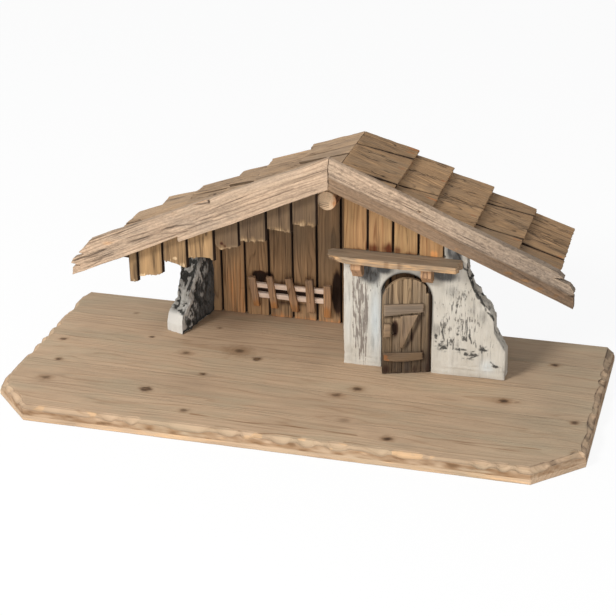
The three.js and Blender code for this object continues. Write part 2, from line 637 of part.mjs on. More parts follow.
/** The rack leans from the back wall: slats nailed before two rails. */
function hayRack() {
  const lean = rad(RACK_LEAN);
  const rack = new THREE.Group();
  const railFoot = LOWER_RAIL - RAIL_HEIGHT / 2;
  const railBack = (SEAT + RAIL_THICKNESS) * Math.cos(lean) - railFoot * Math.sin(lean);
  rack.position.set(0, backWallY - SEAT - Math.max(0, railBack), floorZ + RACK_FOOT);
  rack.rotation.x = lean;
  stable.add(rack);
  const slats = SLATS.map(({ shift, tilt, low, high, girth }, i) => {
    const foot = RACK_LEFT + (i + shift) * SLAT_PITCH;
    const head = foot + tilt * SLAT_LENGTH;
    return { foot, head, low: low * SLAT_LENGTH, high: high * SLAT_LENGTH, half: girth * SLAT_WIDTH / 2 };
  });
  slats.forEach(({ foot, head, low, high, half }, i) => {
    const outline = [[foot - half, low], [foot + half, low + SLAT_WOBBLE * (1 + vary(i))],
      [head + half, high + SLAT_WOBBLE * vary(i + 9)], [head - half, high]];
    piece(`rack_slat_${i + 1}`, upright(outline, -SLAT_THICKNESS, SLAT_THICKNESS), TOASTED, rack);
  });
  const [first, last] = [slats[0], slats.at(-1)];
  const x0 = (first.foot + first.head - first.half) / 2;
  const x1 = (last.foot + last.head + last.half) / 2;
  const h = RAIL_HEIGHT / 2;
  for (const [name, level] of [['rack_lower_rail', LOWER_RAIL], ['rack_upper_rail', UPPER_RAIL]]) {
    const outline = [[x0, level - h], [x1, level - h + RAIL_TAPER], [x1, level + h - RAIL_TAPER],
      [x0, level + h]];
    piece(name, upright(outline, SEAT, RAIL_THICKNESS), AGED, rack);
  }
}

/** The leaf and what is nailed to it, built closed and turned ajar about the pivot line. */
function door() {
  const swing = new THREE.Group();
  swing.position.set(pivotX, pivotY, floorZ);
  swing.rotation.z = rad(DOOR_AJAR);
  stable.add(swing);
  const half = LEAF_THICKNESS / 2;
  const freeX = half - LEAF_WIDTH;
  piece('door_leaf', doorLeaf(freeX, half), DOOR_WOOD, swing);

  const face = -half - SEAT;
  const fitting = (name, outline, thickness = BATTEN_THICKNESS) =>
    piece(name, upright(outline, face - thickness, thickness), DOOR_WOOD, swing);
  const left = freeX + FITTING_INSET;
  const right = -HINGE_SIDE_CLEAR;
  const w = FITTING_WOBBLE;
  const { low, high, rise } = UPPER_BATTEN;
  fitting('door_upper_batten', [[left, low], [right, low + rise], [right, high - w], [left + w, high]]);

  const { sag } = LOWER_BATTEN;
  const lower = new THREE.Shape();
  lower.moveTo(left, LOWER_BATTEN.high);
  lower.lineTo(left + w, LOWER_BATTEN.low + sag);
  lower.quadraticCurveTo((left + right) / 2, LOWER_BATTEN.low - sag, right, LOWER_BATTEN.low + sag);
  lower.lineTo(right - w, LOWER_BATTEN.high - w);
  fitting('door_lower_batten', lower);

  const braceHeight = UPPER_BATTEN.low - BRACE.gap - BRACE.foot;
  fitting('door_brace', BRACE_OUTLINE.map(([across, up]) => [freeX + BRACE.left + across * BRACE.width,
    BRACE.foot + up * braceHeight]));
  const latchRight = left + LATCH.width;
  fitting('door_latch', [[left, LATCH.low], [latchRight - w, LATCH.low + w], [latchRight, LATCH.high - w],
    [left + w, LATCH.high]], LATCH.thickness);
}

/** An arched leaf of planks with a rounded hinge edge, bored for its two pins. */
function doorLeaf(freeX, half) {
  const radius = LEAF_WIDTH / 2;
  const arch = new THREE.Shape();
  arch.moveTo(freeX, LEAF_FLOOR_GAP);
  arch.lineTo(half, LEAF_FLOOR_GAP);
  arch.lineTo(half, LEAF_SPRING);
  arch.absarc(half - radius, LEAF_SPRING, radius, 0, Math.PI, false);
  const top = LEAF_SPRING + radius + EPS;
  const stile = solid(post(0, 0, half, 0, top, 24));
  const field = solid(flat([[freeX - EPS, -half], [0, -half], [0, half], [freeX - EPS, half]], 0, top));
  const body = solid(upright(arch, -half, LEAF_THICKNESS)).intersect(field.add(stile));
  const tools = [
    post(0, 0, PIVOT_RADIUS + PIVOT_CLEARANCE, 0, LEAF_FLOOR_GAP + BORE_DEPTH + EPS),
    post(0, 0, PIVOT_RADIUS + PIVOT_CLEARANCE, SHOULDER_HEIGHT - BORE_DEPTH - EPS, top),
    post(0, 0, SHOULDER_RADIUS, SHOULDER_HEIGHT, top, 24),
  ];
  for (let i = 1; i < PLANK_COUNT; i += 1) {
    const x = freeX + i * LEAF_WIDTH / PLANK_COUNT;
    const g = GROOVE_WIDTH / 2;
    for (const side of [-1, 1]) {
      tools.push(flat([[x - g, side * (half + EPS)], [x + g, side * (half + EPS)],
        [x + g * 0.4, side * (half - GROOVE_DEPTH)], [x - g * 0.4, side * (half - GROOVE_DEPTH)]],
      -EPS, top + 2 * EPS));
    }
  }
  const pocketX = freeX + FITTING_INSET + LATCH.width + POCKET.gap;
  const pocketEnd = pocketX + POCKET.width;
  tools.push(upright([[pocketX, LATCH.low], [pocketEnd, LATCH.low + POCKET.slant],
    [pocketEnd, LATCH.high - 2 * POCKET.slant], [pocketX + POCKET.slant, LATCH.high]],
  -half - EPS, EPS + POCKET.depth));
  return shell(tools.reduce((leaf, tool) => leaf.subtract(solid(tool)), body));
}

/** Cut nails serve as pivots: one stands in the base board, one is driven up into the wall. */
function pivotPins() {
  const foot = floorZ - PIVOT_DEPTH;
  const reach = floorZ + LEAF_FLOOR_GAP + BORE_DEPTH;
  piece('lower_pivot_pin', post(pivotX, pivotY, PIVOT_RADIUS, foot, reach, 12), IRON);
  piece('upper_pivot_pin',
    post(pivotX, pivotY, PIVOT_RADIUS, floorZ + SHOULDER_HEIGHT - BORE_DEPTH, pinTop(), 12), IRON);
}

baseBoard();
backWall();
leftWall();
frontWall();
shelf();
brackets();
gable();
piece('ridge_log', ridgeLogGeometry(LOG_RADIUS), AGED);
roofPanels();
shingles();
bargeboard(LEFT);
bargeboard(RIGHT);
apron();
hayRack();
door();
pivotPins();

export default stable;
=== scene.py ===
"""The looks of a rustic nativity stable: hewn boards, split shingles, lime plaster and a plank door.

Lengths and places are in mm, in the frame of the CAD part, unless a line says metres. Seeds pick the noise.
"""
import math

import bmesh
import bpy
import numpy as np
from mathutils import Matrix, Vector


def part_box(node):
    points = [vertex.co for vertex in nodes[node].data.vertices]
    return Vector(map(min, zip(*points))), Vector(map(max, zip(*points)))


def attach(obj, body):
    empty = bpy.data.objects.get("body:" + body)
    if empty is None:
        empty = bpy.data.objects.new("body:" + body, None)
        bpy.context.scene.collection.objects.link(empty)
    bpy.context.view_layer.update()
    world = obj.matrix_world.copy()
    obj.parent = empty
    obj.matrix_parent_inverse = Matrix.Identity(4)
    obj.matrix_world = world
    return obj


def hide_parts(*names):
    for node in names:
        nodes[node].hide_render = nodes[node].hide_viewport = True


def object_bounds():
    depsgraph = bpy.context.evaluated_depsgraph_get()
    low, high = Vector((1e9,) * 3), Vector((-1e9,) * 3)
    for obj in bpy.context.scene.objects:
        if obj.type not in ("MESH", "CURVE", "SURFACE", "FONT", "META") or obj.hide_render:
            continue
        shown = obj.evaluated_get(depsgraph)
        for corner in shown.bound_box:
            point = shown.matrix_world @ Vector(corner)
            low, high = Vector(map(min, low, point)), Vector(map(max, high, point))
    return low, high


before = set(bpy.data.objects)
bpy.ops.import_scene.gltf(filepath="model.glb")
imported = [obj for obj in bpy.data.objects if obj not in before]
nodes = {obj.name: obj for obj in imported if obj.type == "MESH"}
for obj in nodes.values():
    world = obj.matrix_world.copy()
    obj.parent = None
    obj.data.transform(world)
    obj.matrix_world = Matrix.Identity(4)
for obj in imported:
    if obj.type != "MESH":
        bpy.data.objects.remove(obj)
cad_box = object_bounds()

MM = 0.001
STABLE, DOOR = "stable", "door"
X, Y, Z = Vector((1, 0, 0)), Vector((0, 1, 0)), Vector((0, 0, 1))
FRONT = -Y

# The camera, from the photograph: lens and sensor in mm, place in metres
LENS = 101.2
SENSOR = 36.0
CAMERA_PLACE = (0.5154, -1.7727, 0.9648)
CAMERA_YAW = math.radians(16.08)
CAMERA_PITCH = math.radians(24.97)
CAMERA_ROLL = math.radians(-0.888)

# The floor reaches this far, in metres. Its share of plain white, and the world's light
FLOOR_REACH = 6.0
FLOOR_WHITE = 0.9
SKY_STRENGTH = 0.5
SKY_COLOUR = (0.95, 0.97, 1.0, 1)

# Slopes of the roof, and how far the rack leans and the door stands ajar
PITCH_LEFT = math.radians(24.2)
PITCH_RIGHT = math.radians(22.4)
RACK_LEAN = math.radians(14)
DOOR_AJAR = math.radians(19)

# Edges of a solid that count as sharp, and of a finished piece that are shaded so
SHARP = math.radians(25)
SMOOTH = math.radians(38)

# Base board: cut corners, heights of its top, shoulder and lower band, and the knife-carved bevel
BOARD_TOP = 18
BOARD_CLIP = 53
EDGE_SHOULDER = 15
EDGE_BAND = 6.5
SHOULDER_INSET = 1.6
BEVEL_INSET = 8
BEVEL_WAVE = 3.2
CUT_LENGTH = 46
CUT_DROP = 5
ON_TOP, ON_BEVEL, IN_BROWN, IN_BAND = range(4)
# Height and inset of each line of the lower band
BAND_LINES = (
    (6.2, 0.25), (5.8, 0.05), (4.3, 0.05), (2.8, 0.05), (1.2, 0.05), (0.7, 0.1), (0.3, 0.25), (0, 0.6))
# The boards glued side by side: y of the joints, then each board's tone and where its pith lies
GLUE_LINES = (-104, -38, 31, 97)
BOARD_TONES = (0.1, -0.25, 0.3, -0.1, -0.5)
PITH_ACROSS = (120, 74, 16, -52, -140)
PITH_BELOW = (26, 44, 30, 38, 24)
# Knots: x, y, radius, how dark the core is, how wide the brown halo is
KNOTS = (
    (-304, -35, 3.6, 0.9, 1.6), (-300, -84, 5.0, 0.6, 2.4), (-214, 51, 3.0, 0.8, 1.4),
    (-172, -83, 4.6, 1.0, 1.9), (-158, 19, 4.0, 0.6, 2.6), (-96, 40, 6.5, 0.7, 3.2), (-68, 24, 4.0, 1.0, 1.6),
    (-119, -30, 3.4, 0.9, 1.6), (-111, -122, 4.2, 0.6, 2.0), (-140, 96, 2.6, 0.6, 1.6),
    (-320, 19, 3.6, 0.8, 1.8), (-259, 112, 2.6, 0.4, 2.0), (70, -22, 5.0, 0.8, 2.2), (50, -43, 4.4, 0.6, 2.4),
    (242, -10, 5.0, 0.9, 2.0), (132, -130, 4.8, 0.9, 1.8), (285, 96, 4.4, 0.9, 1.6),
    (328, -42, 3.8, 0.8, 1.8), (338, -110, 3.4, 0.8, 2.0), (74, -100, 5.0, 0.25, 2.0),
    (257, -9, 3.2, 0.25, 1.8), (198, 118, 3.0, 0.5, 1.8))
# Strokes are given as their points, half width and strength. Dark lines of latewood, in x and y
GRAIN_LINES = (
    (((-311, -27), (-292, -24), (-276, -28), (-250, -29), (-226, -29.5), (-208, -22)), 1.3, 0.8),
    (((-101, -129), (-65, -130), (-36, -132), (4, -129), (53, -128.7), (96, -131)), 2.0, 1.0),
    (((-64, -149), (-50, -148), (-36, -152.6), (-18, -154), (10, -149), (37, -149.5)), 1.3, 0.9),
    (((86, -148.6), (101, -148), (123, -153), (143, -157)), 1.4, 0.9),
    (((145, -112.5), (173, -117), (233, -115), (300, -112)), 1.8, 0.9),
    (((150, -107), (200, -110), (262, -107)), 1.2, 0.6), (((189, -118), (240, -121), (295, -122)), 1.6, 0.8),
    (((-68, 24), (-56, 24), (-46, 32)), 1.4, 0.9), (((-42, -35), (-30, -37)), 1.0, 0.8),
    (((-30, 106), (30, 103)), 1.6, 0.6), (((-50, 88), (34, 84)), 1.4, 0.5),
    (((-330, 60), (-220, 64)), 1.6, 0.4), (((290, 72), (345, 66)), 1.6, 0.6),
    (((20, -70), (150, -74), (240, -66)), 2.2, 0.35))

# Spots on an upright face are given as x, z, half width, half height and strength.
# Back wall: its front face, the hay rack's shadow painted on it, the boards inside the room, whose tops are
# painted in shade, and how much painted light warms each board near the floor
BACK_FACE = 146
RACK_SHADE = ((-100, 73, 9.5, 5.5, 3.0), (1, 60, 6, 26, 2.4), (-54, 54, 62, 4, 1.9), (-89, 73, 7, 7, 1.7),
              (-55, 38, 46, 4, 0.8), (-60, 66, 40, 2.5, 0.9))
ROOM_BOARDS = 7
BACK_FLOOR_LIGHT = (0.4, 1.0, 0.5, 0.3, 0.25, 0.3, 0.2, 0.3, 0.3, 0.2, 0.3)
# Apron boards: their front face, how grey each one is, its scorched places and knots
APRON_FACE = -5.7
APRON_AGE = (0.25, 0.0, 0.15, 0.05, 0.85, 0.9, 0.8, 0.9)
APRON_BURNS = ((-157, 155, 4, 2.6, 1.3), (-163, 153, 3, 2, 1.1), (-148, 149, 5, 4, 0.8),
               (-80, 174, 3, 3, 0.8), (-190, 128, 12, 3, 0.7), (-125, 157, 12, 1.6, 0.6))
APRON_KNOTS = ((-98, 180, 3, 3, 1.0), (-94, 177, 2.5, 3, 0.8))
# Gable boards: their front face, scorched feet and edges, and an orange place on the last one
GABLE_FACE = 40
GABLE_BURNS = ((66, 174, 3, 13, 1.1), (74, 172, 9, 9, 1.0), (91, 173, 8, 9, 1.1), (103, 172, 6, 8, 0.9),
               (52, 168, 14, 5, 0.8), (118, 168, 14, 6, 0.8), (96, 190, 1.6, 20, 0.7),
               (127, 190, 1.6, 22, 0.7))
GABLE_GLOW = ((146, 172, 9, 8, 0.9),)

# Roof: the ridge, and how the left eave of the panel is drawn up and back behind the bargeboard
RIDGE = 35
RIDGE_TOP = 276.5
EAVE_PLACE = (-213, -217)
EAVE_CHAMFER = 6.5
EAVE_SETBACK = 34
# Bargeboards: their front face, and cracks on it in x and z
BARGE_FACE = -18
CRACK_DEPTH = 1.2
LEFT_CRACKS = (
    (((-126, 207), (-150, 202), (-188, 184), (-212, 174)), 0.9, 1.0),
    (((-119, 210), (-51, 240), (-6, 261)), 0.6, 0.7), (((-135, 196), (-178, 187), (-221, 164)), 0.6, 0.6),
    (((-230, 158), (-254, 147), (-268, 143)), 0.7, 0.8),
    (((-60, 226), (-10, 250), (22, 262)), 0.5, 0.5), (((-242, 152), (-262, 138)), 0.5, 0.7),
    (((-108, 234), (-108, 248)), 0.9, 1.3), (((-129, 229), (-108, 235)), 0.7, 0.9),
    (((-240, 163), (-262, 152), (-281, 145)), 0.8, 0.9), (((-180, 190), (-140, 205), (-100, 224)), 0.5, 0.5),
    (((-90, 214), (-40, 236), (10, 258)), 0.5, 0.5), (((-212, 180), (-186, 190)), 0.5, 0.6))
SLIVER = ((-127, 232), (-111, 239))
LEFT_GLOW = ((-238, 172, 16, 7, 0.6), (-118, 236, 9, 3, 0.58), (-196, 170, 12, 3, 0.4))
RIGHT_CRACKS = (
    (((60, 268), (120, 246), (190, 212)), 0.5, 0.45), (((230, 196), (300, 160)), 0.6, 0.6),
    (((296, 168), (314, 158)), 0.8, 0.9), (((150, 232), (210, 208)), 0.5, 0.4))
RIGHT_KNOT = ((140, 247, 3.2, 1.8, 1.0),)
RIGHT_GLOW = ((242, 183, 7, 2.5, 1.2), (262, 176, 8, 2.5, 1.2), (278, 168, 6, 2.5, 1.1),
              (296, 161, 5, 3, 1.0), (183, 206, 5, 2.5, 0.9), (150, 222, 5, 2, 0.6))
# Shingles: how far their sides draw in, how far stain spreads beside a joint, and how much they tilt
SEAM_WIDTH = 0.8
STAIN_REACH = 1.5
SHINGLE_TILT = 2.4
# One more joint: its course, the shingle that it parts, and y at the head and the butt
EXTRA_JOINTS = (("right_shingles_1", 1, 112, 131),)
EXTRA_GAP = 0.45
# Cracks that part a shingle only half way: reach from the ridge and y of their points
SHINGLE_CRACKS = {"right_shingles_2": ((52, 96), (79, 113)), "right_shingles_5": ((215, 143), (247, 141.5))}

# Front plaster wall: its front face, the arch of the doorway (x, z of its centre, radius), and its marks
WALL_FACE = 40
DOORWAY = (113.75, 113.5, 30.75)
BRUSHED = ((57.5, 82, 11, 46, 1.1),)
BRUSHED_MIDDLE, BRUSHED_HALF = 57.5, 9.5
# Grey wash together with the painted shadow of the shelf and the brackets, under the shelf and right of the
# brackets. The second table reaches through the wall.
WASHED_AND_SHADED = ((70, 140, 12, 13, 1.6), (84, 147, 14, 7, 1.2), (158, 147, 17, 9, 1.3), (168, 128, 14, 12, 0.5),
          (206, 98, 8, 14, 0.5), (168, 158, 20, 3, 1.0))
WASHED_AND_SHADED_THROUGH = ((166, 180, 7, 14, 1.2), (173, 174, 6, 14, 1.8))
COOL = ((76, 80, 7, 45, 1.0), (212, 34, 8, 8, 0.8), (42, 90, 4, 40, 0.3))
SPARSE_STROKES = ((186, 84, 20, 18, 1.0), (178, 124, 14, 20, 0.9), (158, 84, 8, 22, 0.7))
SMEARS = ((157, 54, 9, 6, 1.35), (178, 53, 8, 2.4, 1.2), (189, 48, 13, 3, 1.4), (207, 56, 6, 5, 1.2),
          (183, 70, 3, 8, 1.0), (168, 62, 2.6, 8, 1.0), (150, 66, 2.2, 8, 1.1), (222, 36, 6, 2.4, 1.2),
          (176, 76, 2.2, 8, 0.9), (190, 42, 10, 2.2, 0.9))
HATCHED = ((70, 140, 11, 11, 1.0), (160, 85, 10, 30, 0.75), (186, 84, 22, 24, 0.8), (178, 122, 16, 18, 0.75),
           (45, 140, 6, 14, 0.6), (76, 128, 8, 14, 0.7), (210, 60, 14, 20, 0.45), (150, 110, 8, 30, 0.35))
SCRATCHES = (((152, 58), (158, 80)), ((157, 76), (159, 62)), ((164, 56), (162, 68)), ((170, 52), (171, 66)),
             ((180, 72), (181, 92)), ((186, 93), (187, 66)), ((192, 62), (190, 80)), ((197, 68), (199, 56)),
             ((203, 62), (205, 50)), ((174, 100), (175, 112)), ((168, 96), (168, 110)),
             ((182, 122), (183, 130)), ((176, 118), (176, 128)), ((174, 52), (184, 53)),
             ((184, 53), (197, 52)), ((150, 62), (166, 60)),
             ((190, 44), (199, 46)), ((206, 60), (214, 48)), ((216, 40), (224, 36)), ((222, 33), (226, 36)))
CREST = ((172, 178), (180, 160), (186, 154), (191, 138), (199, 122), (216, 99), (221, 93))
# A nail's head in the wall and a hole by the arch
DOTS = ((158.5, 170.5), (88.9, 131))

# Door: its planks, and its marks, those in space as centre, half sizes and strength. The pocket shadows and
# the shadows are painted shadow: beside the latch, at the ends of the battens, and beside the brace and the
# battens
PLANKS = 5
DOOR_FOOT_STAIN = (((92, 24, 24), (8, 14, 8), 1.0), ((104, 28, 20), (8, 14, 3), 0.8),
                   ((130, 34, 24), (8, 14, 8), 0.6))
DOOR_POCKET_SHADOWS = (((103, 27, 78), (3.8, 14, 10), 1.5), ((134, 36, 103), (2.5, 14, 7), 1.2),
                ((134, 36, 42), (2.5, 14, 7), 1.2), ((122, 34, 66), (3, 14, 8), 0.9),
                ((118, 34, 57), (3, 14, 4), 0.8), ((128, 34, 88), (3, 14, 8), 0.7))
DOOR_SHADOWS = ((((115, 52), (122, 65), (132, 91)), 3.2, 0.85), (((92, 93.8), (136, 93.8)), 1.3, 0.85),
                (((92, 34), (136, 34)), 1.4, 0.85))
DOOR_RED = (((112, 30, 24.5), (9, 14, 2.2), 0.9),)
DOOR_GLOW = (((93, 20, 42), (3.5, 9, 4.5), 1.3), ((96, 22, 38), (2, 9, 2), 1.2))


def linear(code):
    """A colour for a shader, from its sRGB hex code."""
    parts = [int(code[i:i + 2], 16) / 255 for i in (1, 3, 5)]
    return [c / 12.92 if c <= 0.04045 else ((c + 0.055) / 1.055) ** 2.4 for c in parts] + [1.0]


def noise(points, size, seed=0):
    """Smooth noise from -1 to 1 at each point. Size is that of a cell: one number, or one for each axis."""
    at = np.asarray(points, float) / np.asarray(size, float) + 4096
    cell = np.floor(at).astype(np.int64)
    part = at - cell
    part = part * part * (3 - 2 * part)
    total = np.zeros(len(at))
    for corner in np.ndindex(2, 2, 2):
        key = (cell + corner) @ np.array([73856093, 19349663, 83492791]) + seed * 2654435761
        key = ((key ^ (key >> 13)) * 1274126177) & 0xFFFFFFFF
        key ^= key >> 16
        key = (key * 2246822519) & 0xFFFFFFFF
        key ^= key >> 15
        weight = np.where(corner, part, 1 - part).prod(axis=1)
        total += weight * ((key & 0xFFFF) / 32767.5 - 1)
    return total


def layered(points, size, seed=0, octaves=3):
    """Noise with finer noise on it."""
    size = np.asarray(size, float)
    return sum(noise(points, size / 2 ** k, seed + 17 * k) / 2 ** k for k in range(octaves))


def chance(seed):
    """A repeatable number from -1 to 1."""
    return float(np.clip(noise(np.array([[seed * 0.731 + 0.37, seed * 1.117, 0.5]]), 1.0, 5)[0] * 1.8, -1, 1))


def ease(values, low, high):
    """0 below low, 1 above high, and a soft step between them."""
    share = np.clip((np.asarray(values, float) - low) / (high - low), 0, 1)
    return share * share * (3 - 2 * share)


def bump(values, middle, half):
    """1 at the middle, falling off to both sides."""
    return np.exp(-((values - middle) / half) ** 2)


def spots(points, places):
    """Soft spots, each given by its centre, its size along each axis, and a strength."""
    total = np.zeros(len(points))
    for centre, size, strength in places:
        away = (points - centre) / size
        total = np.maximum(total, strength * np.exp(-(away ** 2).sum(axis=1)))
    return total


def face_spots(points, face, places, depth=9):
    """Soft spots on an upright face at y. They fade behind it over the depth."""
    return spots(points, [((x, face, z), (wide, depth, high), strength)
                          for x, z, wide, high, strength in places])


def from_path(points, path):
    """The distance of each point from a path of straight runs."""
    path = np.asarray(path, float)
    nearest = np.full(len(points), np.inf)
    for start, end in zip(path, path[1:]):
        run = end - start
        share = np.clip((points - start) @ run / max(run @ run, 1e-6), 0, 1)
        nearest = np.minimum(nearest, np.linalg.norm(points - start - share[:, None] * run, axis=1))
    return nearest


def strokes(points, paths, spread=1.0):
    """Soft strokes along paths, each with its half width and strength."""
    total = np.zeros(len(points))
    for path, width, strength in paths:
        total = np.maximum(total, strength * bump(from_path(points, path), 0, width * spread))
    return total


class Graph:
    """Short calls that build the node tree of a material or of the world."""

    def __init__(self, holder):
        holder.use_nodes = True
        self.holder, self.tree = holder, holder.node_tree
        self.tree.nodes.clear()

    def node(self, kind, inputs=(), **settings):
        made = self.tree.nodes.new(kind)
        for key, value in settings.items():
            setattr(made, key, value)
        for key, value in dict(inputs).items():
            if isinstance(value, bpy.types.NodeSocket):
                self.tree.links.new(value, made.inputs[key])
            else:
                made.inputs[key].default_value = value
        return made

    def math(self, operation, a, b=0.0, clamp=False):
        return self.node("ShaderNodeMath", {0: a, 1: b}, operation=operation, use_clamp=clamp).outputs[0]

    def add(self, *terms):
        total = terms[0]
        for term in terms[1:]:
            total = self.math("ADD", total, term)
        return total

    def times(self, a, b, clamp=False):
        return self.math("MULTIPLY", a, b, clamp)

    def about(self, a, gain):
        """Gain times what a noise has above its middle."""
        return self.times(self.math("SUBTRACT", a, 0.5), gain)

    def vector(self, operation, a, b=(0, 0, 0), output=0):
        return self.node("ShaderNodeVectorMath", {0: a, 1: b}, operation=operation).outputs[output]

    def scaled(self, a, factor):
        return self.node("ShaderNodeVectorMath", {0: a, "Scale": factor}, operation="SCALE").outputs[0]

    def mix(self, factor, a, b):
        a, b = (linear(c) if isinstance(c, str) else c for c in (a, b))
        made = self.node("ShaderNodeMix", {0: factor, 6: a, 7: b}, data_type="RGBA", clamp_factor=True)
        return made.outputs[2]

    def mark(self, name, output="Fac"):
        """The value that the mesh gives to each of its points."""
        return self.node("ShaderNodeAttribute", attribute_name=name).outputs[output]

    def noise(self, vector, cells, detail=2.0, roughness=0.5, output="Fac"):
        """Noise with the given number of cells to a metre along each axis."""
        at = self.vector("MULTIPLY", vector, cells)
        return self.node("ShaderNodeTexNoise", {"Vector": at, "Scale": 1.0, "Detail": detail,
                                                "Roughness": roughness}).outputs[output]

    def ramp(self, factor, stops):
        """Turns a number into another by soft steps between (place, value) stops."""
        made = self.node("ShaderNodeValToRGB", {0: factor})
        made.color_ramp.interpolation = "EASE"
        elements = made.color_ramp.elements
        while len(elements) < len(stops):
            elements.new(0.5)
        for element, (place, value) in zip(elements, stops):
            element.position = place
            element.color = (value, value, value, 1)
        return made.outputs[0]

    def span(self, value, low, high, start=0.0, end=1.0):
        return self.node("ShaderNodeMapRange", {0: value, 1: low, 2: high, 3: start, 4: end},
                         interpolation_type="SMOOTHSTEP").outputs[0]

    def finish(self, colour, roughness, height, depth, metallic=0.0):
        """The surface: colour, roughness, and a bump of the given depth."""
        relief = self.node("ShaderNodeBump", {"Height": height, "Distance": depth * MM, "Strength": 1.0})
        surface = self.node("ShaderNodeBsdfPrincipled", {
            "Base Color": colour, "Roughness": roughness, "Normal": relief.outputs[0],
            "Metallic": metallic, "Specular IOR Level": 0.3})
        self.node("ShaderNodeOutputMaterial", {0: surface.outputs[0]})
        return self.holder


def timber(name, early, late, *, ring=3.0, contrast=0.7, fibre=0.5, blotch=0.4, cracks=0.5, pits=0.0,
           grey="#8d8377", greying=0.5, worn="#c9a887", wear=0.4, char_and_shade="#3a1d0e", fresh_and_lit="#cf8f55",
           halo="#93623a", ink_and_shade="#2b1c11"):
    """Sawn or split softwood. Its rings run round a pith beside each board, so end grain shows arcs.

    The mesh gives the marks that belong to one place: char, fresh wood, brown halos, black ink and age. Char,
    black ink and age also carry painted shade, and fresh wood carries painted light.
    """
    g = Graph(bpy.data.materials.new(name))
    grain = g.mark("grain", "Vector")
    wander = g.noise(grain, (6, 28, 28), detail=2, output="Color")
    bend = g.vector("MULTIPLY", g.vector("SUBTRACT", wander, (0.5, 0.5, 0.5)), (0, 0.016, 0.016))
    radius = g.vector("LENGTH", g.vector("MULTIPLY", g.vector("ADD", grain, bend), (0, 1, 1)), output=1)
    uneven = g.noise(grain, (3, 60, 60), detail=1)
    saw = g.math("FRACT", g.add(g.math("DIVIDE", radius, ring * MM), g.times(uneven, 1.6)))
    latewood = g.ramp(saw, [(0.0, 0.2), (0.3, 0.0), (0.7, 0.35), (0.9, 1.0), (1.0, 0.2)])

    streak = g.noise(grain, (8, 210, 210), detail=3, roughness=0.6)
    hairs = g.noise(grain, (26, 820, 820), detail=3, roughness=0.7)
    clouds = g.noise(grain, (12, 40, 40), detail=3)
    veins = g.noise(grain, (7, 330, 330), detail=1)
    split = g.span(g.math("ABSOLUTE", g.math("SUBTRACT", veins, 0.5)), 0.055, 0.0)
    split = g.times(split, g.span(g.noise(grain, (9, 90, 90), detail=1), 0.5, 0.66))

    strength = g.times(g.span(streak, 0.25, 0.75), contrast * 1.6)
    colour = g.mix(g.times(latewood, strength, clamp=True), early, late)
    colour = g.mix(g.times(g.span(clouds, 0.42, 0.72), greying), colour, grey)
    colour = g.mix(g.times(g.mark("aged_and_shaded"), g.span(clouds, 0.15, 0.6, 0.65, 1.0)), colour, grey)
    dents = g.noise(grain, (260, 520, 520), detail=4, roughness=0.75)
    pitted = g.times(g.about(dents, 3.0), g.add(pits, g.mark("pitted")))
    light = g.add(1.0, g.about(hairs, fibre * 2), g.about(streak, fibre * 1.8), pitted,
                  g.about(clouds, blotch), g.times(g.mark("tone"), 0.14))
    colour = g.scaled(colour, light)
    rubbed = g.times(g.mark("worn"), g.span(clouds, 0.3, 0.62))
    colour = g.mix(g.times(rubbed, wear), colour, worn)
    # bare_and_lit: fresh wood, and painted light where the mesh gives it
    bare_and_lit = g.span(g.add(g.mark("fresh_and_lit"), g.about(hairs, 0.6), g.about(streak, 0.8)), 0.45, 0.95)
    colour = g.mix(bare_and_lit, colour, g.scaled(linear(fresh_and_lit)[:3], light))
    brown = g.add(g.mark("halo"), g.about(streak, 0.5))
    colour = g.mix(g.span(brown, 0.15, 1.0), colour, g.scaled(linear(halo)[:3], light))
    # burnt_and_shaded: char, and painted shade where the mesh gives it
    burnt_and_shaded = g.add(g.mark("char_and_shade"), g.about(streak, 0.9), g.about(clouds, 0.6))
    colour = g.mix(g.span(burnt_and_shaded, 0.3, 1.0), colour, char_and_shade)
    line = g.math("MAXIMUM", g.mark("ink_and_shade"), g.times(split, cracks))
    colour = g.mix(line, colour, ink_and_shade)
    height = g.add(g.times(hairs, 0.7), g.times(latewood, 0.35), g.times(streak, 0.6),
                   g.times(split, -1.2 * cracks), g.times(pitted, 0.8))
    return g.finish(colour, g.add(0.7, g.times(hairs, 0.25)), height, 0.6)


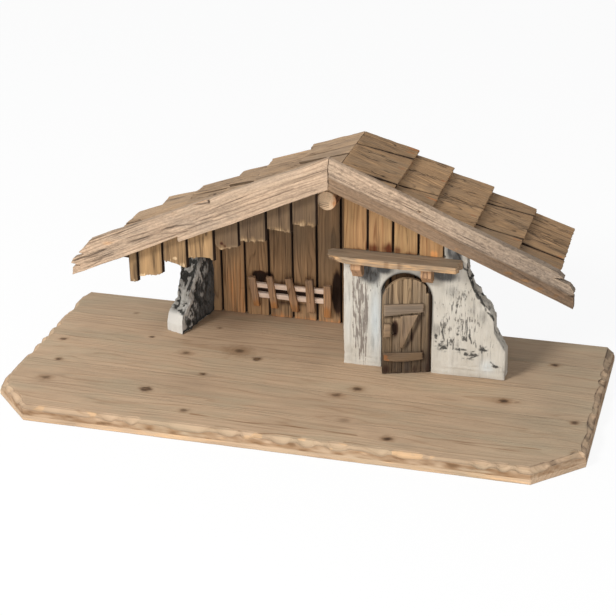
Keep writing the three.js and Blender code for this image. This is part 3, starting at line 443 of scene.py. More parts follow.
def plaster(name, white, shade, dark):
    """Lime plaster over a core: brushed on in ridges, then dry-brushed dark and dirtied in its hollows. The
    mesh also marks painted shade, which goes in with the grey, the grime and the ink.
    """
    g = Graph(bpy.data.materials.new(name))
    place = g.node("ShaderNodeTexCoord").outputs["Object"]
    ridges = g.noise(place, (420, 420, 50), detail=4, roughness=0.65)
    specks = g.noise(place, (900, 900, 700), detail=3, roughness=0.7)
    clouds = g.noise(place, (45, 45, 35), detail=3)
    ticks = g.noise(place, (620, 620, 95), detail=3, roughness=0.55)
    gaps = g.noise(place, (170, 170, 150), detail=2)
    colour = g.mix(g.span(clouds, 0.35, 0.75), white, shade)
    colour = g.mix(g.times(g.mark("cool"), 0.8), colour, "#c9d1d3")
    faint = g.add(g.about(ridges, 1.6), g.about(specks, 1.2))
    colour = g.mix(g.times(g.span(faint, 0.15, 0.5), 0.6), colour, shade)
    colour = g.mix(g.times(g.span(faint, 0.3, 0.6), 0.35), colour, dark)
    lump = g.add(g.mark("lump"), g.about(specks, 0.5))
    # grey: grey wash, with painted shade where the mesh gives it
    grey = g.add(g.mark("grey"), g.about(specks, 0.35), g.about(ridges, 0.4), g.times(lump, -0.12))
    colour = g.mix(g.span(grey, 0.15, 0.95), colour, dark)
    colour = g.mix(g.times(g.span(lump, -0.15, -0.75), 0.4), colour, dark)
    daubs = g.noise(place, (560, 560, 38), detail=3, roughness=0.6)
    brushed = g.add(g.mark("brush"), g.about(daubs, 7.0), g.about(gaps, 1.3))
    covered = g.times(g.span(brushed, 0.6, 1.0), g.span(g.mark("brush"), 0.1, 0.4))
    colour = g.mix(g.times(covered, 0.8), colour, "#6c6058")
    hatch = g.add(g.about(ticks, 4.0), g.about(gaps, 1.6), g.mark("hatch"))
    hatch = g.times(g.span(hatch, 0.75, 1.15), g.span(g.mark("hatch"), 0.05, 0.3))
    colour = g.mix(g.times(hatch, 0.75), colour, "#3b3833")
    glint = g.times(g.span(g.add(lump, g.mark("crest")), 0.2, 0.6), g.mark("lime"))
    colour = g.mix(g.math("MAXIMUM", glint, g.times(g.mark("crest"), 0.8)), colour, "#d8d5ce")
    # grime_and_shade: dirt, dry-brush ticks and painted shade
    grime_and_shade = g.add(g.mark("grime_and_shade"), g.about(specks, 0.7), g.about(ridges, 0.5))
    colour = g.mix(g.times(g.span(grime_and_shade, 0.25, 0.9), 0.92), colour, "#33322f")
    # ink_and_shade: a nail head and a hole, and the arch's painted shadow
    colour = g.mix(g.mark("ink_and_shade"), colour, "#14100d")
    height = g.add(g.times(ridges, 0.8), g.times(specks, 0.6))
    return g.finish(colour, g.add(0.8, g.times(specks, 0.15)), height, 1.1)


def iron(name):
    """A dull cut nail, lightly rusted."""
    g = Graph(bpy.data.materials.new(name))
    place = g.node("ShaderNodeTexCoord").outputs["Object"]
    rust = g.noise(place, (900, 900, 900), detail=4, roughness=0.7)
    colour = g.mix(g.span(rust, 0.45, 0.7), "#4a4642", "#5a3a26")
    return g.finish(colour, g.span(rust, 0.2, 0.8, 0.45, 0.8), rust, 0.1, metallic=0.7)


SPRUCE = timber("spruce_board", "#c0a487", "#9b7c5e", ring=4.2, contrast=0.52, fibre=0.18, cracks=0.15,
                grey="#9f9078", greying=0.6, worn="#c4a684", char_and_shade="#7d5a3c", fresh_and_lit="#d2ad85",
                halo="#866545", ink_and_shade="#36251a")
BARGE = timber("verge_board", "#b79d84", "#89715c", ring=3.4, fibre=0.34, cracks=0.7, pits=0.3,
               grey="#8d7d6d", worn="#c0a689", wear=0.35, fresh_and_lit="#bb8b5c", halo="#8a6a4c")
SPLIT = timber("split_shingle", "#ab8863", "#66503a", contrast=0.8, fibre=0.55, blotch=0.6, cracks=1.0,
               grey="#8a7359", worn="#a98660", fresh_and_lit="#a8734a")
PALE_SPLIT = timber("pale_shingle", "#b29577", "#806447", blotch=0.5, cracks=0.8,
                    grey="#96826d", worn="#bfa07f", wear=0.45, fresh_and_lit="#b28a60")
WALL_BOARD = timber("wall_board", "#c4996d", "#6e4e30", ring=3.2, contrast=0.85, fibre=0.55, blotch=0.6,
                    cracks=0.6, grey="#645543", worn="#a98660", wear=0.25, fresh_and_lit="#c08350")
TOASTED = timber("toasted_board", "#ac845a", "#744c2c", ring=3.4, contrast=0.65, fibre=0.45, cracks=0.4,
                 grey="#ab9064", greying=0.35, worn="#caa473", wear=0.35, char_and_shade="#5c2c12")
APRON = timber("apron_board", "#9a7b56", "#5c4730", contrast=0.8, fibre=0.55, blotch=0.45, cracks=0.6,
               grey="#5e4b39", greying=0.3, worn="#b89c79", wear=0.5, fresh_and_lit="#bda17d")
LEDGE = timber("ledge_board", "#98826a", "#695540", fibre=0.42, grey="#877a69", greying=0.4,
               worn="#b99671", wear=0.5, fresh_and_lit="#bd9870")
RACK = timber("rack_wood", "#c89b72", "#694a33", ring=2.4, contrast=0.8, blotch=0.5,
              grey="#84705f", greying=0.4, worn="#b8926e", wear=0.5, fresh_and_lit="#ad7747")
PALE = timber("pale_rail", "#ecd4bf", "#c09f86", ring=2.4, contrast=0.5, fibre=0.4, blotch=0.35, cracks=0.3,
              grey="#cbb6a6", greying=0.3, worn="#f0dccb", wear=0.5)
LOG = timber("whittled_log", "#cbad8c", "#a47c58", ring=1.5, contrast=0.45, fibre=0.25, blotch=0.25,
             cracks=0.2, grey="#a58a70", greying=0.3, worn="#d4b591", wear=0.5, fresh_and_lit="#a8734a")
PLANK = timber("door_plank", "#a18869", "#55422e", ring=2.2, contrast=0.75, fibre=0.6, blotch=0.5, cracks=0.8,
               grey="#75695b", worn="#a98c6b", fresh_and_lit="#96623c")
FITTING = timber("door_fitting", "#927759", "#5a4435", ring=1.8, blotch=0.45,
                 grey="#7c7063", worn="#ab8d6c", fresh_and_lit="#ae774b")
PANEL = timber("roof_panel", "#9a7d5e", "#6d543c", contrast=0.5, fibre=0.3, grey="#6f6253", wear=0.35)
WHITE = plaster("lime_plaster", "#cac4b8", "#bab3a6", "#595856")
GREY = plaster("grey_plaster", "#b3b0a8", "#8d8a84", "#4e4d4b")
IRON = iron("cut_nail")


def turned(direction, axis, angle):
    return Matrix.Rotation(angle, 3, axis) @ direction


def down_slope(sign):
    """The way down a slope of the roof. Sign is -1 on the left."""
    return turned(X * sign, Y, PITCH_RIGHT if sign > 0 else -PITCH_LEFT)


def box_mm(node):
    return [np.array(corner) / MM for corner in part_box(node)]


def solid_copy(node):
    """A CAD node's own shape in metres, with its flat faces made whole."""
    bm = bmesh.new()
    bm.from_mesh(nodes[node].data)
    bmesh.ops.remove_doubles(bm, verts=bm.verts, dist=0.01 * MM)
    bmesh.ops.dissolve_limit(bm, angle_limit=math.radians(0.5), verts=bm.verts, edges=bm.edges)
    return bm


def sharp_edges(bm):
    return [e for e in bm.edges if len(e.link_faces) == 2 and e.calc_face_angle() > SHARP]


def slice_up(bm, axis, step):
    """Cuts a mesh by planes square to axis, a step apart, so that it can be shaped finely."""
    reach = [axis.dot(v.co) for v in bm.verts]
    low, high = min(reach), max(reach)
    count = max(1, round((high - low) / (step * MM)))
    for i in range(1, count):
        place = low + (high - low) * i / count
        everything = [*bm.verts, *bm.edges, *bm.faces]
        bmesh.ops.bisect_plane(bm, geom=everything, plane_co=axis * place, plane_no=axis)


def remeshed(bm, voxel):
    """The same solid with an even net of small faces all over."""
    mesh = bpy.data.meshes.new("core")
    bm.to_mesh(mesh)
    bm.free()
    core = linked("core", mesh)
    modifier = core.modifiers.new("net", "REMESH")
    modifier.mode = "VOXEL"
    modifier.voxel_size = voxel * MM
    bm = bmesh.new()
    bm.from_object(core, bpy.context.evaluated_depsgraph_get())
    bpy.data.objects.remove(core)
    bpy.data.meshes.remove(mesh)
    return bm


def linked(name, data):
    """A new object in the scene."""
    made = bpy.data.objects.new(name, data)
    bpy.context.scene.collection.objects.link(made)
    return made


class Shape:
    """A mesh on its way from a CAD node's plain solid to a worn piece.

    Points and rest are its places after and before it is shaped. Local is rest along the shape's own axes.
    """

    def __init__(self, bm, along, across, seed, wears=True):
        self.bm = bm
        self.axes = np.array([along, across, along.cross(across)])
        self.seed = seed
        self.marks = {"tone": chance(seed + 3)}
        self.edges = []
        if wears:
            self.edges = [[np.array(v.co) / MM for v in e.verts] for e in sharp_edges(bm)]

    def cut(self, along, across, thick, edge):
        """Rounds the edges and cuts the faces to a grid of the given steps."""
        bmesh.ops.bevel(self.bm, geom=sharp_edges(self.bm), offset=edge * MM, segments=2, profile=0.5,
                        affect="EDGES", clamp_overlap=True)
        for axis, step in zip(self.axes, (along, across, thick)):
            slice_up(self.bm, Vector(axis), step)
        return self.settle()

    def settle(self):
        self.bm.normal_update()
        self.bm.verts.index_update()
        self.points = np.array([v.co[:] for v in self.bm.verts]) / MM
        self.normals = np.array([v.normal[:] for v in self.bm.verts])
        self.rest = self.points.copy()
        self.local = (self.rest - self.rest.mean(axis=0)) @ self.axes.T
        return self

    def facing(self, direction, low, high):
        """1 where the surface faces a direction, 0 where it doesn't, between two limits of the cosine."""
        return ease(self.normals @ np.array(direction), low, high)

    def push(self, amount):
        """Moves each point along its normal."""
        self.points += self.normals * np.asarray(amount)[:, None]

    def shift(self, direction, amount):
        self.points += np.asarray(direction) * np.asarray(amount)[:, None]

    def weather(self, groove=0.15, lump=0.25, split=0.0, ragged=0.0):
        """Grooves along the grain, layers torn off, hand-tool unevenness, and torn fibres on the ends.

        Ends at the ridge stay straight, because they meet there.
        """
        local, seed = self.local, self.seed
        self.push(groove * layered(local, (45, 2, 2), seed))
        self.push(lump * layered(local, (34, 16, 16), seed + 5, 2))
        torn = layered(local, (70, 7, 7), seed + 11, 2)
        self.push(-split * (ease(torn, 0.1, 0.22) + 0.7 * ease(torn, 0.5, 0.6)))
        fibres = layered(local * (0, 1, 1), (1, 2.4, 3.2), seed + 9, 3)
        facing = self.normals @ self.axes[0]
        ends = np.clip((np.abs(facing) - 0.4) / 0.3, 0, 1) * ease(np.abs(self.rest[:, 0] - RIDGE), 2, 20)
        self.shift(self.axes[0], np.sign(facing) * ends * ragged * (fibres - 0.5))

    def mark(self, **marks):
        """Gives each point its share of the marks that a material draws."""
        self.marks.update(marks)

    def nearness(self, reach):
        """1 on the plain solid's sharp edges, falling off over a reach."""
        nearest = np.full(len(self.rest), 1 / MM)
        for edge in self.edges:
            nearest = np.minimum(nearest, from_path(self.rest, edge))
        return np.exp(-nearest / reach)

    def build(self, name, material, slot, node, body=STABLE):
        for vert, place in zip(self.bm.verts, self.points * MM):
            vert.co = place
        mesh = bpy.data.meshes.new(name)
        self.bm.to_mesh(mesh)
        self.bm.free()
        seed = self.seed
        pith = (3000 * chance(seed), 14 * chance(seed + 40), 24 + 12 * chance(seed + 80))
        grain = self.marks.pop("grain", self.local + pith) * MM
        layer = mesh.attributes.new("grain", "FLOAT_VECTOR", "POINT")
        layer.data.foreach_set("vector", grain.astype(np.float32).ravel())
        for key, values in {"worn": self.nearness(1.3), **self.marks}.items():
            layer = mesh.attributes.new(key, "FLOAT", "POINT")
            layer.data.foreach_set("value", np.broadcast_to(values, len(grain)).astype(np.float32))
        mesh.polygons.foreach_set("use_smooth", [True] * len(mesh.polygons))
        mesh.set_sharp_from_angle(angle=SMOOTH)
        mesh.materials.append(material)
        piece = linked(name, mesh)
        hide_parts(node)
        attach(piece, body)


def worn_board(node, along, across, seed, steps, edge=0.6, **wear):
    """A CAD node's solid with rounded edges, cut finely and weathered."""
    shape = Shape(solid_copy(node), along, across, seed)
    shape.cut(*steps, edge)
    shape.weather(**wear)
    return shape


def carved(distance, seed):
    """How deep the knife cuts along an edge, from -1 between two cuts to 1, and the number of each cut."""
    place = np.stack([distance, distance * 0, distance * 0], axis=1)
    count = distance / CUT_LENGTH + 0.8 * noise(place, 75, seed) + 0.3 * noise(place, 21, seed + 2)
    number = np.floor(count)
    share = count - number
    depth = 0.5 + 0.5 * noise(np.stack([number, number * 0, number * 0], axis=1) + 0.5, 1, seed + 1)
    return (4 * share * (1 - share) * 2 - 1) * depth, number


class BoardGrid:
    """The base board as a net of rows from the front to the back, with strips round its edge."""
    COLUMNS, ROWS = 260, 230
    CLIP_ROWS = 0.2

    def __init__(self):
        self.half_length, self.half_depth, _ = box_mm("base_board")[1]
        i, j = np.meshgrid(np.arange(self.COLUMNS + 1), np.arange(self.ROWS + 1), indexing="xy")
        self.across, self.back = i.ravel() / self.COLUMNS, j.ravel() / self.ROWS
        number = i + j * (self.COLUMNS + 1)
        self.rim = np.concatenate([number[0, :-1], number[:-1, -1], number[-1, :0:-1], number[:0:-1, 0]])
        self.quads = np.stack([number[:-1, :-1], number[:-1, 1:], number[1:, 1:], number[1:, :-1]],
                              axis=-1).reshape(-1, 4)
        self.bevel, self.cut = self.carving()

    def place(self, across, back, inset):
        """Points of the board drawn in by an inset on all sides but the rear."""
        turn = math.tan(math.pi / 8) * inset
        share = np.clip(back / self.CLIP_ROWS, 0, 1)
        rest = np.clip((back - self.CLIP_ROWS) / (1 - self.CLIP_ROWS), 0, 1)
        side = self.half_length - inset
        half = (side - BOARD_CLIP + inset - turn) * (1 - share) + side * share
        front, corner = inset - self.half_depth, BOARD_CLIP - self.half_depth + turn
        y = front + (corner - front) * share + (self.half_depth - corner) * rest
        return np.stack([(2 * across - 1) * half, y], axis=1)

    def carving(self):
        """The width of the carved bevel at each point of the net, and the number of the cut there."""
        flat = self.place(self.across, self.back, 0)
        side = np.where(self.across < 0.5, -1, 1)
        round_side = flat[:, 1] + np.where(self.back < self.CLIP_ROWS, side * flat[:, 0], 0) * 0.4
        left, left_cut = carved(round_side + 2000 * side, 3)
        front, front_cut = carved(flat[:, 0], 7)
        edge_side = self.place(np.where(side < 0, 0.0, 1.0), self.back, 0)
        near_side = np.exp(-np.abs(flat[:, 0] - edge_side[:, 0]) / 14)
        near_front = np.exp(-(flat[:, 1] + self.half_depth) / 14) * (self.back < self.CLIP_ROWS)
        near_front *= 1 - 0.8 * near_side
        bevel = BEVEL_INSET + BEVEL_WAVE * (left * near_side + front * near_front)
        return bevel, np.where(near_front > near_side, front_cut + 50, left_cut)

    def levels(self):
        """The rings below the top: height, which part it is, how far down that part, and inset."""
        bevel = self.bevel[self.rim]
        scoop = 2 * np.abs(bevel - (BEVEL_INSET - BEVEL_WAVE)) / BEVEL_WAVE
        shoulder = EDGE_SHOULDER - CUT_DROP * ease((bevel - BEVEL_INSET) / BEVEL_WAVE, -0.1, 0.8)
        for s in (0.12, 0.3, 0.5, 0.7, 0.88, 1.0):
            inset = bevel * (1 - s) + SHOULDER_INSET * s + 0.88 * scoop * s * (1 - s)
            yield BOARD_TOP * (1 - s) + shoulder * s, ON_BEVEL, s, inset
        for s in (0.08, 0.3, 0.5, 0.7, 0.92, 1.0):
            yield shoulder * (1 - s) + EDGE_BAND * s, IN_BROWN, s, SHOULDER_INSET * (1 - s)
        for z, inset in BAND_LINES:
            yield z, IN_BAND, 0, inset

    def mesh(self):
        """The net as a solid, and for each point its part, how far down it lies there, and its cut."""
        count, size = len(self.bevel), len(self.rim)
        rows = [np.column_stack([self.place(self.across, self.back, self.bevel), np.full(count, BOARD_TOP)])]
        kind, share, cuts = [np.full(count, ON_TOP)], [np.full(count, -1.0)], [self.cut]
        faces, ring = self.quads.tolist(), self.rim
        for level, (z, part, down, inset) in enumerate(self.levels()):
            flat = self.place(self.across[self.rim], self.back[self.rim], inset)
            rows.append(np.column_stack([flat, np.broadcast_to(z, size)]))
            kind.append(np.full(size, part))
            share.append(np.full(size, float(down)))
            cuts.append(self.cut[self.rim])
            below = count + level * size + np.arange(size)
            faces += np.stack([ring, below, np.roll(below, -1), np.roll(ring, -1)], axis=1).tolist()
            ring = below
        faces.append(ring[::-1].tolist())
        mesh = bpy.data.meshes.new("net")
        mesh.from_pydata((np.concatenate(rows) * MM).tolist(), [], faces)
        bm = bmesh.new()
        bm.from_mesh(mesh)
        bpy.data.meshes.remove(mesh)
        return bm, np.concatenate(kind), np.concatenate(share), np.concatenate(cuts)


def bend_round_knots(points):
    """The place across the grain, with the grain led round every knot."""
    across = points[:, 1].copy()
    for x, y, radius, _, _ in KNOTS:
        from_knot = across - y
        reach = np.exp(-((points[:, 0] - x) / (4.2 * radius)) ** 2 - (from_knot / (3.2 * radius)) ** 2)
        bent = np.sqrt(np.maximum(from_knot ** 2 - (1.3 * radius) ** 2 * reach, 0))
        across = y + np.sign(from_knot) * bent
    return across


def knot_marks(points):
    """The dark core of every knot, and the brown halo round it."""
    core, halo = np.zeros(len(points)), np.zeros(len(points))
    uneven = 1 + 0.25 * layered(points, 3.0, 31, 2)
    for x, y, radius, dark, spread in KNOTS:
        away = np.hypot((points[:, 0] - x) / 1.25, points[:, 1] - y) / radius
        ragged = away * uneven
        core = np.maximum(core, dark * np.exp(-(ragged / 0.8) ** 4))
        if dark == 1.0:
            core = np.maximum(core * np.where(away < 0.45, 0.45, 1), 0.8 * bump(ragged, 0.9, 0.28))
        halo = np.maximum(halo, (0.35 + 0.5 * dark) * bump(ragged, 0, spread))
    return core, halo


def base_board():
    bm, kind, share, cuts = BoardGrid().mesh()
    shape = Shape(bm, X, Y, seed=1, wears=False).settle()
    points = shape.rest
    x, y, height = points.T
    on_top, on_bevel, in_brown, in_band = (kind == part for part in (ON_TOP, ON_BEVEL, IN_BROWN, IN_BAND))

    board = np.searchsorted(GLUE_LINES, y)
    grain = np.stack([x + 900 * board, bend_round_knots(points) + np.array(PITH_ACROSS)[board],
                      height - BOARD_TOP + np.array(PITH_BELOW)[board]], axis=1)
    core, halo = knot_marks(points)
    wavy = points[:, :2] + np.stack([0 * y, 0.8 * noise(points, (18, 18, 18), 44)], axis=1)
    faded = np.clip(0.7 + 0.5 * noise(points, (24, 5, 5), 51), 0, 1)
    halo = np.maximum(halo, faded * strokes(wavy, GRAIN_LINES)) * on_top

    rough = layered(points, (14, 14, 3), 61)
    numbers, which = np.unique(cuts, return_inverse=True)
    chips = np.array([chance(3.1 * number + 2) for number in numbers])[which]
    lit_chips = ease(chips + 0.7 * layered(points, (12, 12, 6), 62), 0.4, 0.9)
    crease = bump(share, 0.1, 0.08) + 0.9 * bump(share, 1, 0.12)
    shape.push(0.05 * on_top * layered(points, (60, 3, 3), 63))
    shape.push(0.35 * on_bevel * layered(points, (9, 9, 4), 64))
    shape.push((0.35 * in_brown + 0.12 * in_band) * (rough - 1))
    patch = layered(points, (60, 40, 40), 65, 2)
    dirt = ease(layered(points, (9, 9, 4), 69), 0.0, 0.5)
    pale = ease(layered(points, (26, 26, 9), 67), 0.65, 1.0)
    rear_left = ease(y, 60, 150) * ease(-x, 100, 260)
    # greyed_and_shaded: grey patches and a greyer rear left, with painted shade greying the right side
    greyed_and_shaded = 0.35 * ease(patch, 0.0, 0.8) + 0.4 * ease(x, 120, 340) + 0.3 * rear_left
    shape.mark(
        grain=grain, tone=np.array(BOARD_TONES)[board] + 0.8 * patch,
        halo=halo + in_brown * (0.62 + 0.35 * rough),
        ink_and_shade=core * on_top + 0.3 * in_brown * ease(rough, 0.3, 0.9) + 0.35 * in_band * ease(height, 1.0, 0.5)
        + on_bevel * (0.45 * crease + 0.5 * ease(x, 285, 330) * dirt),
        fresh_and_lit=on_bevel * lit_chips * 0.85 * ease(x, 330, 180) + in_brown * 0.6 * pale
        + 0.7 * in_band * (0.8 + 0.3 * rough) * (1 - 0.45 * ease(x, 290, 315)),
        worn=on_bevel * 0.5, aged_and_shaded=np.clip(on_top * greyed_and_shaded, 0, 0.8))
    shape.build("spruce_base", SPRUCE, "spruce_board", "base_board")


def joint_stain(shape, reach=1.1):
    """Dark stain in the joints beside an upright board."""
    side = shape.rest[:, 0]
    return bump(np.minimum(side - side.min(), side.max() - side), 0, reach)


def tongue(shape, reach=1.3):
    """Widens the rear of a board, so that it closes the joint with its neighbour as a tongue would."""
    depth = shape.rest[:, 1] - shape.rest[:, 1].min()
    sideways = shape.normals[:, 0]
    rear = ease(depth, depth.max() - 3.2, depth.max() - 2.6)
    shape.shift(X, np.sign(sideways) * ease(np.abs(sideways), 0.3, 0.7) * rear * reach)


def upright_boards(prefix, count, material, slot, marks, seed, step=7, across=1.6, **wear):
    """Boards that stand side by side, grain upright."""
    for i in range(count):
        node = f"{prefix}_{i + 1}"
        shape = worn_board(node, Z, X, seed + i, (step, across, 3), 0.9, **wear)
        shape.push(-0.4 * joint_stain(shape, 1.3))
        tongue(shape)
        given = {"ink_and_shade": 0, **marks(i, shape)}
        given["ink_and_shade"] = np.maximum(joint_stain(shape), given["ink_and_shade"])
        shape.mark(**given)
        shape.build(f"worn_{node}", material, slot, node)


def back_marks(i, shape):
    """Painted light makes the boards warmer and lighter near the floor. Painted shade greys them and makes
    them nearly black under the roof, inside the room and behind the hay rack.
    """
    rise = shape.rest[:, 2]
    # floor_light: painted light on the lower boards, as strong on each board as its entry in the table
    floor_light = BACK_FLOOR_LIGHT[i] * ease(rise, 150, 60)
    # roof_shade: painted shade high up under the roof
    roof_shade = ease(rise + 12 * layered(shape.rest, (7, 7, 30), 70 + i, 2), 172, 222)
    # The hay rack's shadow, painted on the front face only
    shade = face_spots(shape.rest, BACK_FACE, RACK_SHADE) * shape.facing(Y, 0.5, 0.1)
    # room_shade: painted shade at the tops of the boards inside the room
    room_shade = 0.75 * (i >= ROOM_BOARDS) * shape.facing(FRONT, 0.2, 0.6) * ease(rise, 168, 156)
    # Painted light also lightens the feet of boards 4 to 6. Painted shade darkens boards 3 to 5 higher up,
    # and greys every board higher up.
    return {"fresh_and_lit": 0.6 * floor_light + 0.5 * ease(rise, 34, 18) * (i in (3, 4, 5)),
            "char_and_shade": np.maximum(0.4 * roof_shade, shade), "ink_and_shade": np.maximum(0.9 * ease(shade, 0.5, 1.0), room_shade),
            "tone": chance(11 + i) + 0.5 - 0.9 * ease(rise, 80, 150) * (i in (2, 3, 4)) + 0.8 * (i == 5),
            "aged_and_shaded": np.clip(0.45 - 0.5 * floor_light + 0.3 * ease(rise, 80, 130), 0, 1)}


def gable_marks(i, shape):
    """The gable boards are scorched along their feet and here and there on an edge."""
    return {"char_and_shade": face_spots(shape.rest, GABLE_FACE, GABLE_BURNS, 12),
            "fresh_and_lit": (i == 3) * face_spots(shape.rest, GABLE_FACE, GABLE_GLOW, 12),
            "aged_and_shaded": 0.5 * ease(layered(shape.rest, (12, 12, 60), 75 + i, 2), 0.1, 0.8)}


def apron_marks(i, shape):
    """Short boards, torn and pale along their feet."""
    rise = shape.rest[:, 2] - shape.rest[:, 2].min()
    torn = layered(shape.rest, (2.6, 9, 9), 58 + i, 2)
    foot = ease(rise - 3 * torn, 6.5, 3)
    burn = face_spots(shape.rest, APRON_FACE, APRON_BURNS)
    knot = face_spots(shape.rest, APRON_FACE, APRON_KNOTS)
    return {"aged_and_shaded": APRON_AGE[i] * (1 - 0.7 * foot), "fresh_and_lit": burn + 0.62 * foot * ease(torn, -0.5, 0.2),
            "ink_and_shade": 0.75 * foot * ease(torn, -0.1, -0.5), "tone": chance(51 + i) - 0.6 * (i > 3),
            "char_and_shade": 1.2 * knot, "halo": 0.8 * knot}


def panel_marks(shape):
    """The roof panel's left eave is drawn up and back. It has no marks of its own."""
    eave = ease(shape.rest[:, 0], *EAVE_PLACE)
    shape.shift(Z, EAVE_CHAMFER * eave * shape.facing(-Z, 0.1, 0.5))
    shape.shift(Y, EAVE_SETBACK * eave * shape.facing(FRONT, 0.3, 0.7))
    return {}


def crack_marks(shape, cracks):
    """Opens cracks in the front of a bargeboard, and gives their stain."""
    x, z = shape.rest[:, 0], shape.rest[:, 2]
    flat = np.stack([x, z + 0.9 * noise(shape.rest, 9, 88)], axis=1)
    faded = np.clip(0.85 + 0.5 * noise(shape.rest, (22, 9, 9), 89), 0, 1)
    stain = faded * strokes(flat, cracks, spread=1.15) * shape.facing(FRONT, 0.2, 0.6)
    shape.push(-CRACK_DEPTH * stain)
    return stain


def left_barge_marks(shape):
    """Hewn in long flakes, with a loose sliver and long cracks."""
    stain = crack_marks(shape, LEFT_CRACKS)
    hewn = layered(shape.local, (60, 30, 3.4), 91, 2)
    sliver = ease(from_path(shape.rest[:, [0, 2]], SLIVER), 3.4, 2.4) * shape.facing(FRONT, 0.2, 0.6)
    shape.push(0.5 * sliver - 0.5 * ease(hewn, 0.15, 0.35))
    return {"ink_and_shade": np.maximum(0.95 * stain, 0.2 * bump(hewn, 0.2, 0.04)), "pitted": 0.1,
            "fresh_and_lit": np.maximum(face_spots(shape.rest, BARGE_FACE, LEFT_GLOW), 0.7 * sliver),
            "tone": 0.8 * ease(hewn, 0.35, 0.1) - 0.1 + 0.6 * sliver,
            "aged_and_shaded": 0.3 * ease(layered(shape.rest, (40, 9, 9), 90), 0.2, 0.8)}


def right_barge_marks(shape):
    """Pitted along its upper half, with a browner lower half a step further back."""
    stain = crack_marks(shape, RIGHT_CRACKS)
    eye = face_spots(shape.rest, BARGE_FACE, RIGHT_KNOT)
    x = shape.rest[:, 0]
    wavy = shape.local[:, 2] * np.sign(shape.axes[2][2]) + 1.6 * layered(shape.local, (30, 30, 30), 92)
    lower = ease(wavy, 0.0, -4.0)
    pits = ease(layered(shape.local, (3.4, 3, 2), 93, 2), 0.35, 0.75) * (1 - lower)
    shape.push(-0.7 * lower * shape.facing(FRONT, 0.3, 0.7) - 0.35 * pits)
    return {"ink_and_shade": np.maximum.reduce([0.9 * stain, 0.8 * ease(eye, 0.5, 0.9), 0.3 * pits,
                                      0.25 * bump(wavy, -2.0, 0.9)]),
            "halo": 0.8 * eye + 0.66 * lower, "pitted": 0.38 * (1 - lower),
            "fresh_and_lit": face_spots(shape.rest, BARGE_FACE, RIGHT_GLOW),
            "aged_and_shaded": 0.1 + 0.75 * ease(x, x.min() + 90, x.max() - 60),
            "tone": 0.8 - 2.6 * lower - 1.3 * ease(x, 150, 260)}


def sloped(node, prefix, sign, material, seed, marks, steps, **wear):
    """A board whose grain runs down a slope of the roof."""
    shape = worn_board(node, down_slope(sign), Y, seed, steps, **wear)
    shape.mark(**marks(shape))
    shape.build(f"{prefix}_{node}", material, "aged_board", node)


def roof():
    for side, sign, courses, marks in (("left", -1, 6, left_barge_marks), ("right", 1, 5, right_barge_marks)):
        sloped(f"{side}_roof_panel", "worn", sign, PANEL, 80 + sign, panel_marks, (14, 6, 4), lump=0.2)
        sloped(f"{side}_bargeboard", "hewn", sign, BARGE, 84 + sign, marks, (2.2, 4, 0.8),
               groove=0.25, lump=0.35, split=0.35, ragged=1.4)
        for k in range(1, courses + 1):
            shingles(side, sign, k)


def wedges(node, along, above):
    """The front and rear wall of every shingle of a course: four corners, from the underside of its head."""
    points = np.array([v.co[:] for v in nodes[node].data.vertices]) / MM
    reach = points @ along
    butt = reach > reach.max() - 5
    head = np.abs(points[:, 0] - RIDGE) < 0.5 if node.endswith("_1") else reach < reach.min() + 0.1
    ends = []
    for group in (head, butt):
        pairs = []
        for y in np.unique(points[group, 1].round(2)):
            near = points[group & (np.abs(points[:, 1] - y) < 0.05)]
            order = np.argsort(near @ above)
            pairs.append((near[order[0]], near[order[-1]]))
        ends.append(pairs)
    walls = [np.array([low_head, low_butt, high_butt, high_head])
             for (low_head, high_head), (low_butt, high_butt) in zip(*ends)]
    return list(zip(walls[::2], walls[1::2]))


def split_wedge(front, rear, at_head, at_butt):
    """Two shingles in place of one, parted by a joint that meets the head and the butt at the given y."""
    share = (np.array([at_head, at_butt, at_butt, at_head]) - front[:, 1]) / (rear[:, 1] - front[:, 1])
    joint = front + (rear - front) * share[:, None]
    half = np.array([0, EXTRA_GAP, 0])
    return [(front, joint - half), (joint + half, rear)]


def course_parts(node, along, above):
    """The front and the rear wall of every shingle of a course, from the front to the back."""
    parts = wedges(node, along, above)
    for course, place, at_head, at_butt in EXTRA_JOINTS:
        if course == node:
            parts[place:place + 1] = split_wedge(*parts[place], at_head, at_butt)
    return parts


def wall_side(wall, along, reach):
    """Where a wall of a shingle stands in y, at each reach down the slope."""
    share = (reach - wall[0] @ along) / ((wall[1] - wall[0]) @ along)
    return wall[0][1] + (wall[1][1] - wall[0][1]) * share


def course_solid(parts):
    """A course as separate wedge shingles, in metres."""
    bm = bmesh.new()
    for walls in parts:
        a, b = ([bm.verts.new(corner * MM) for corner in wall] for wall in walls)
        bm.faces.new(a)
        bm.faces.new(b[::-1])
        for i in range(4):
            bm.faces.new((a[i], b[i], b[(i + 1) % 4], a[(i + 1) % 4]))
    bmesh.ops.recalc_face_normals(bm, faces=bm.faces)
    return bm


def islands(bm):
    """The number of the loose part that each vertex belongs to, from the front to the back."""
    bm.verts.index_update()
    part = np.full(len(bm.verts), -1)
    middles = []
    for start in bm.verts:
        if part[start.index] >= 0:
            continue
        number = len(middles)
        part[start.index] = number
        stack, members = [start], []
        while stack:
            vert = stack.pop()
            members.append(vert.co.y)
            for edge in vert.link_edges:
                other = edge.other_vert(vert)
                if part[other.index] < 0:
                    part[other.index] = number
                    stack.append(other)
        middles.append(np.mean(members))
    return np.argsort(np.argsort(middles))[part]


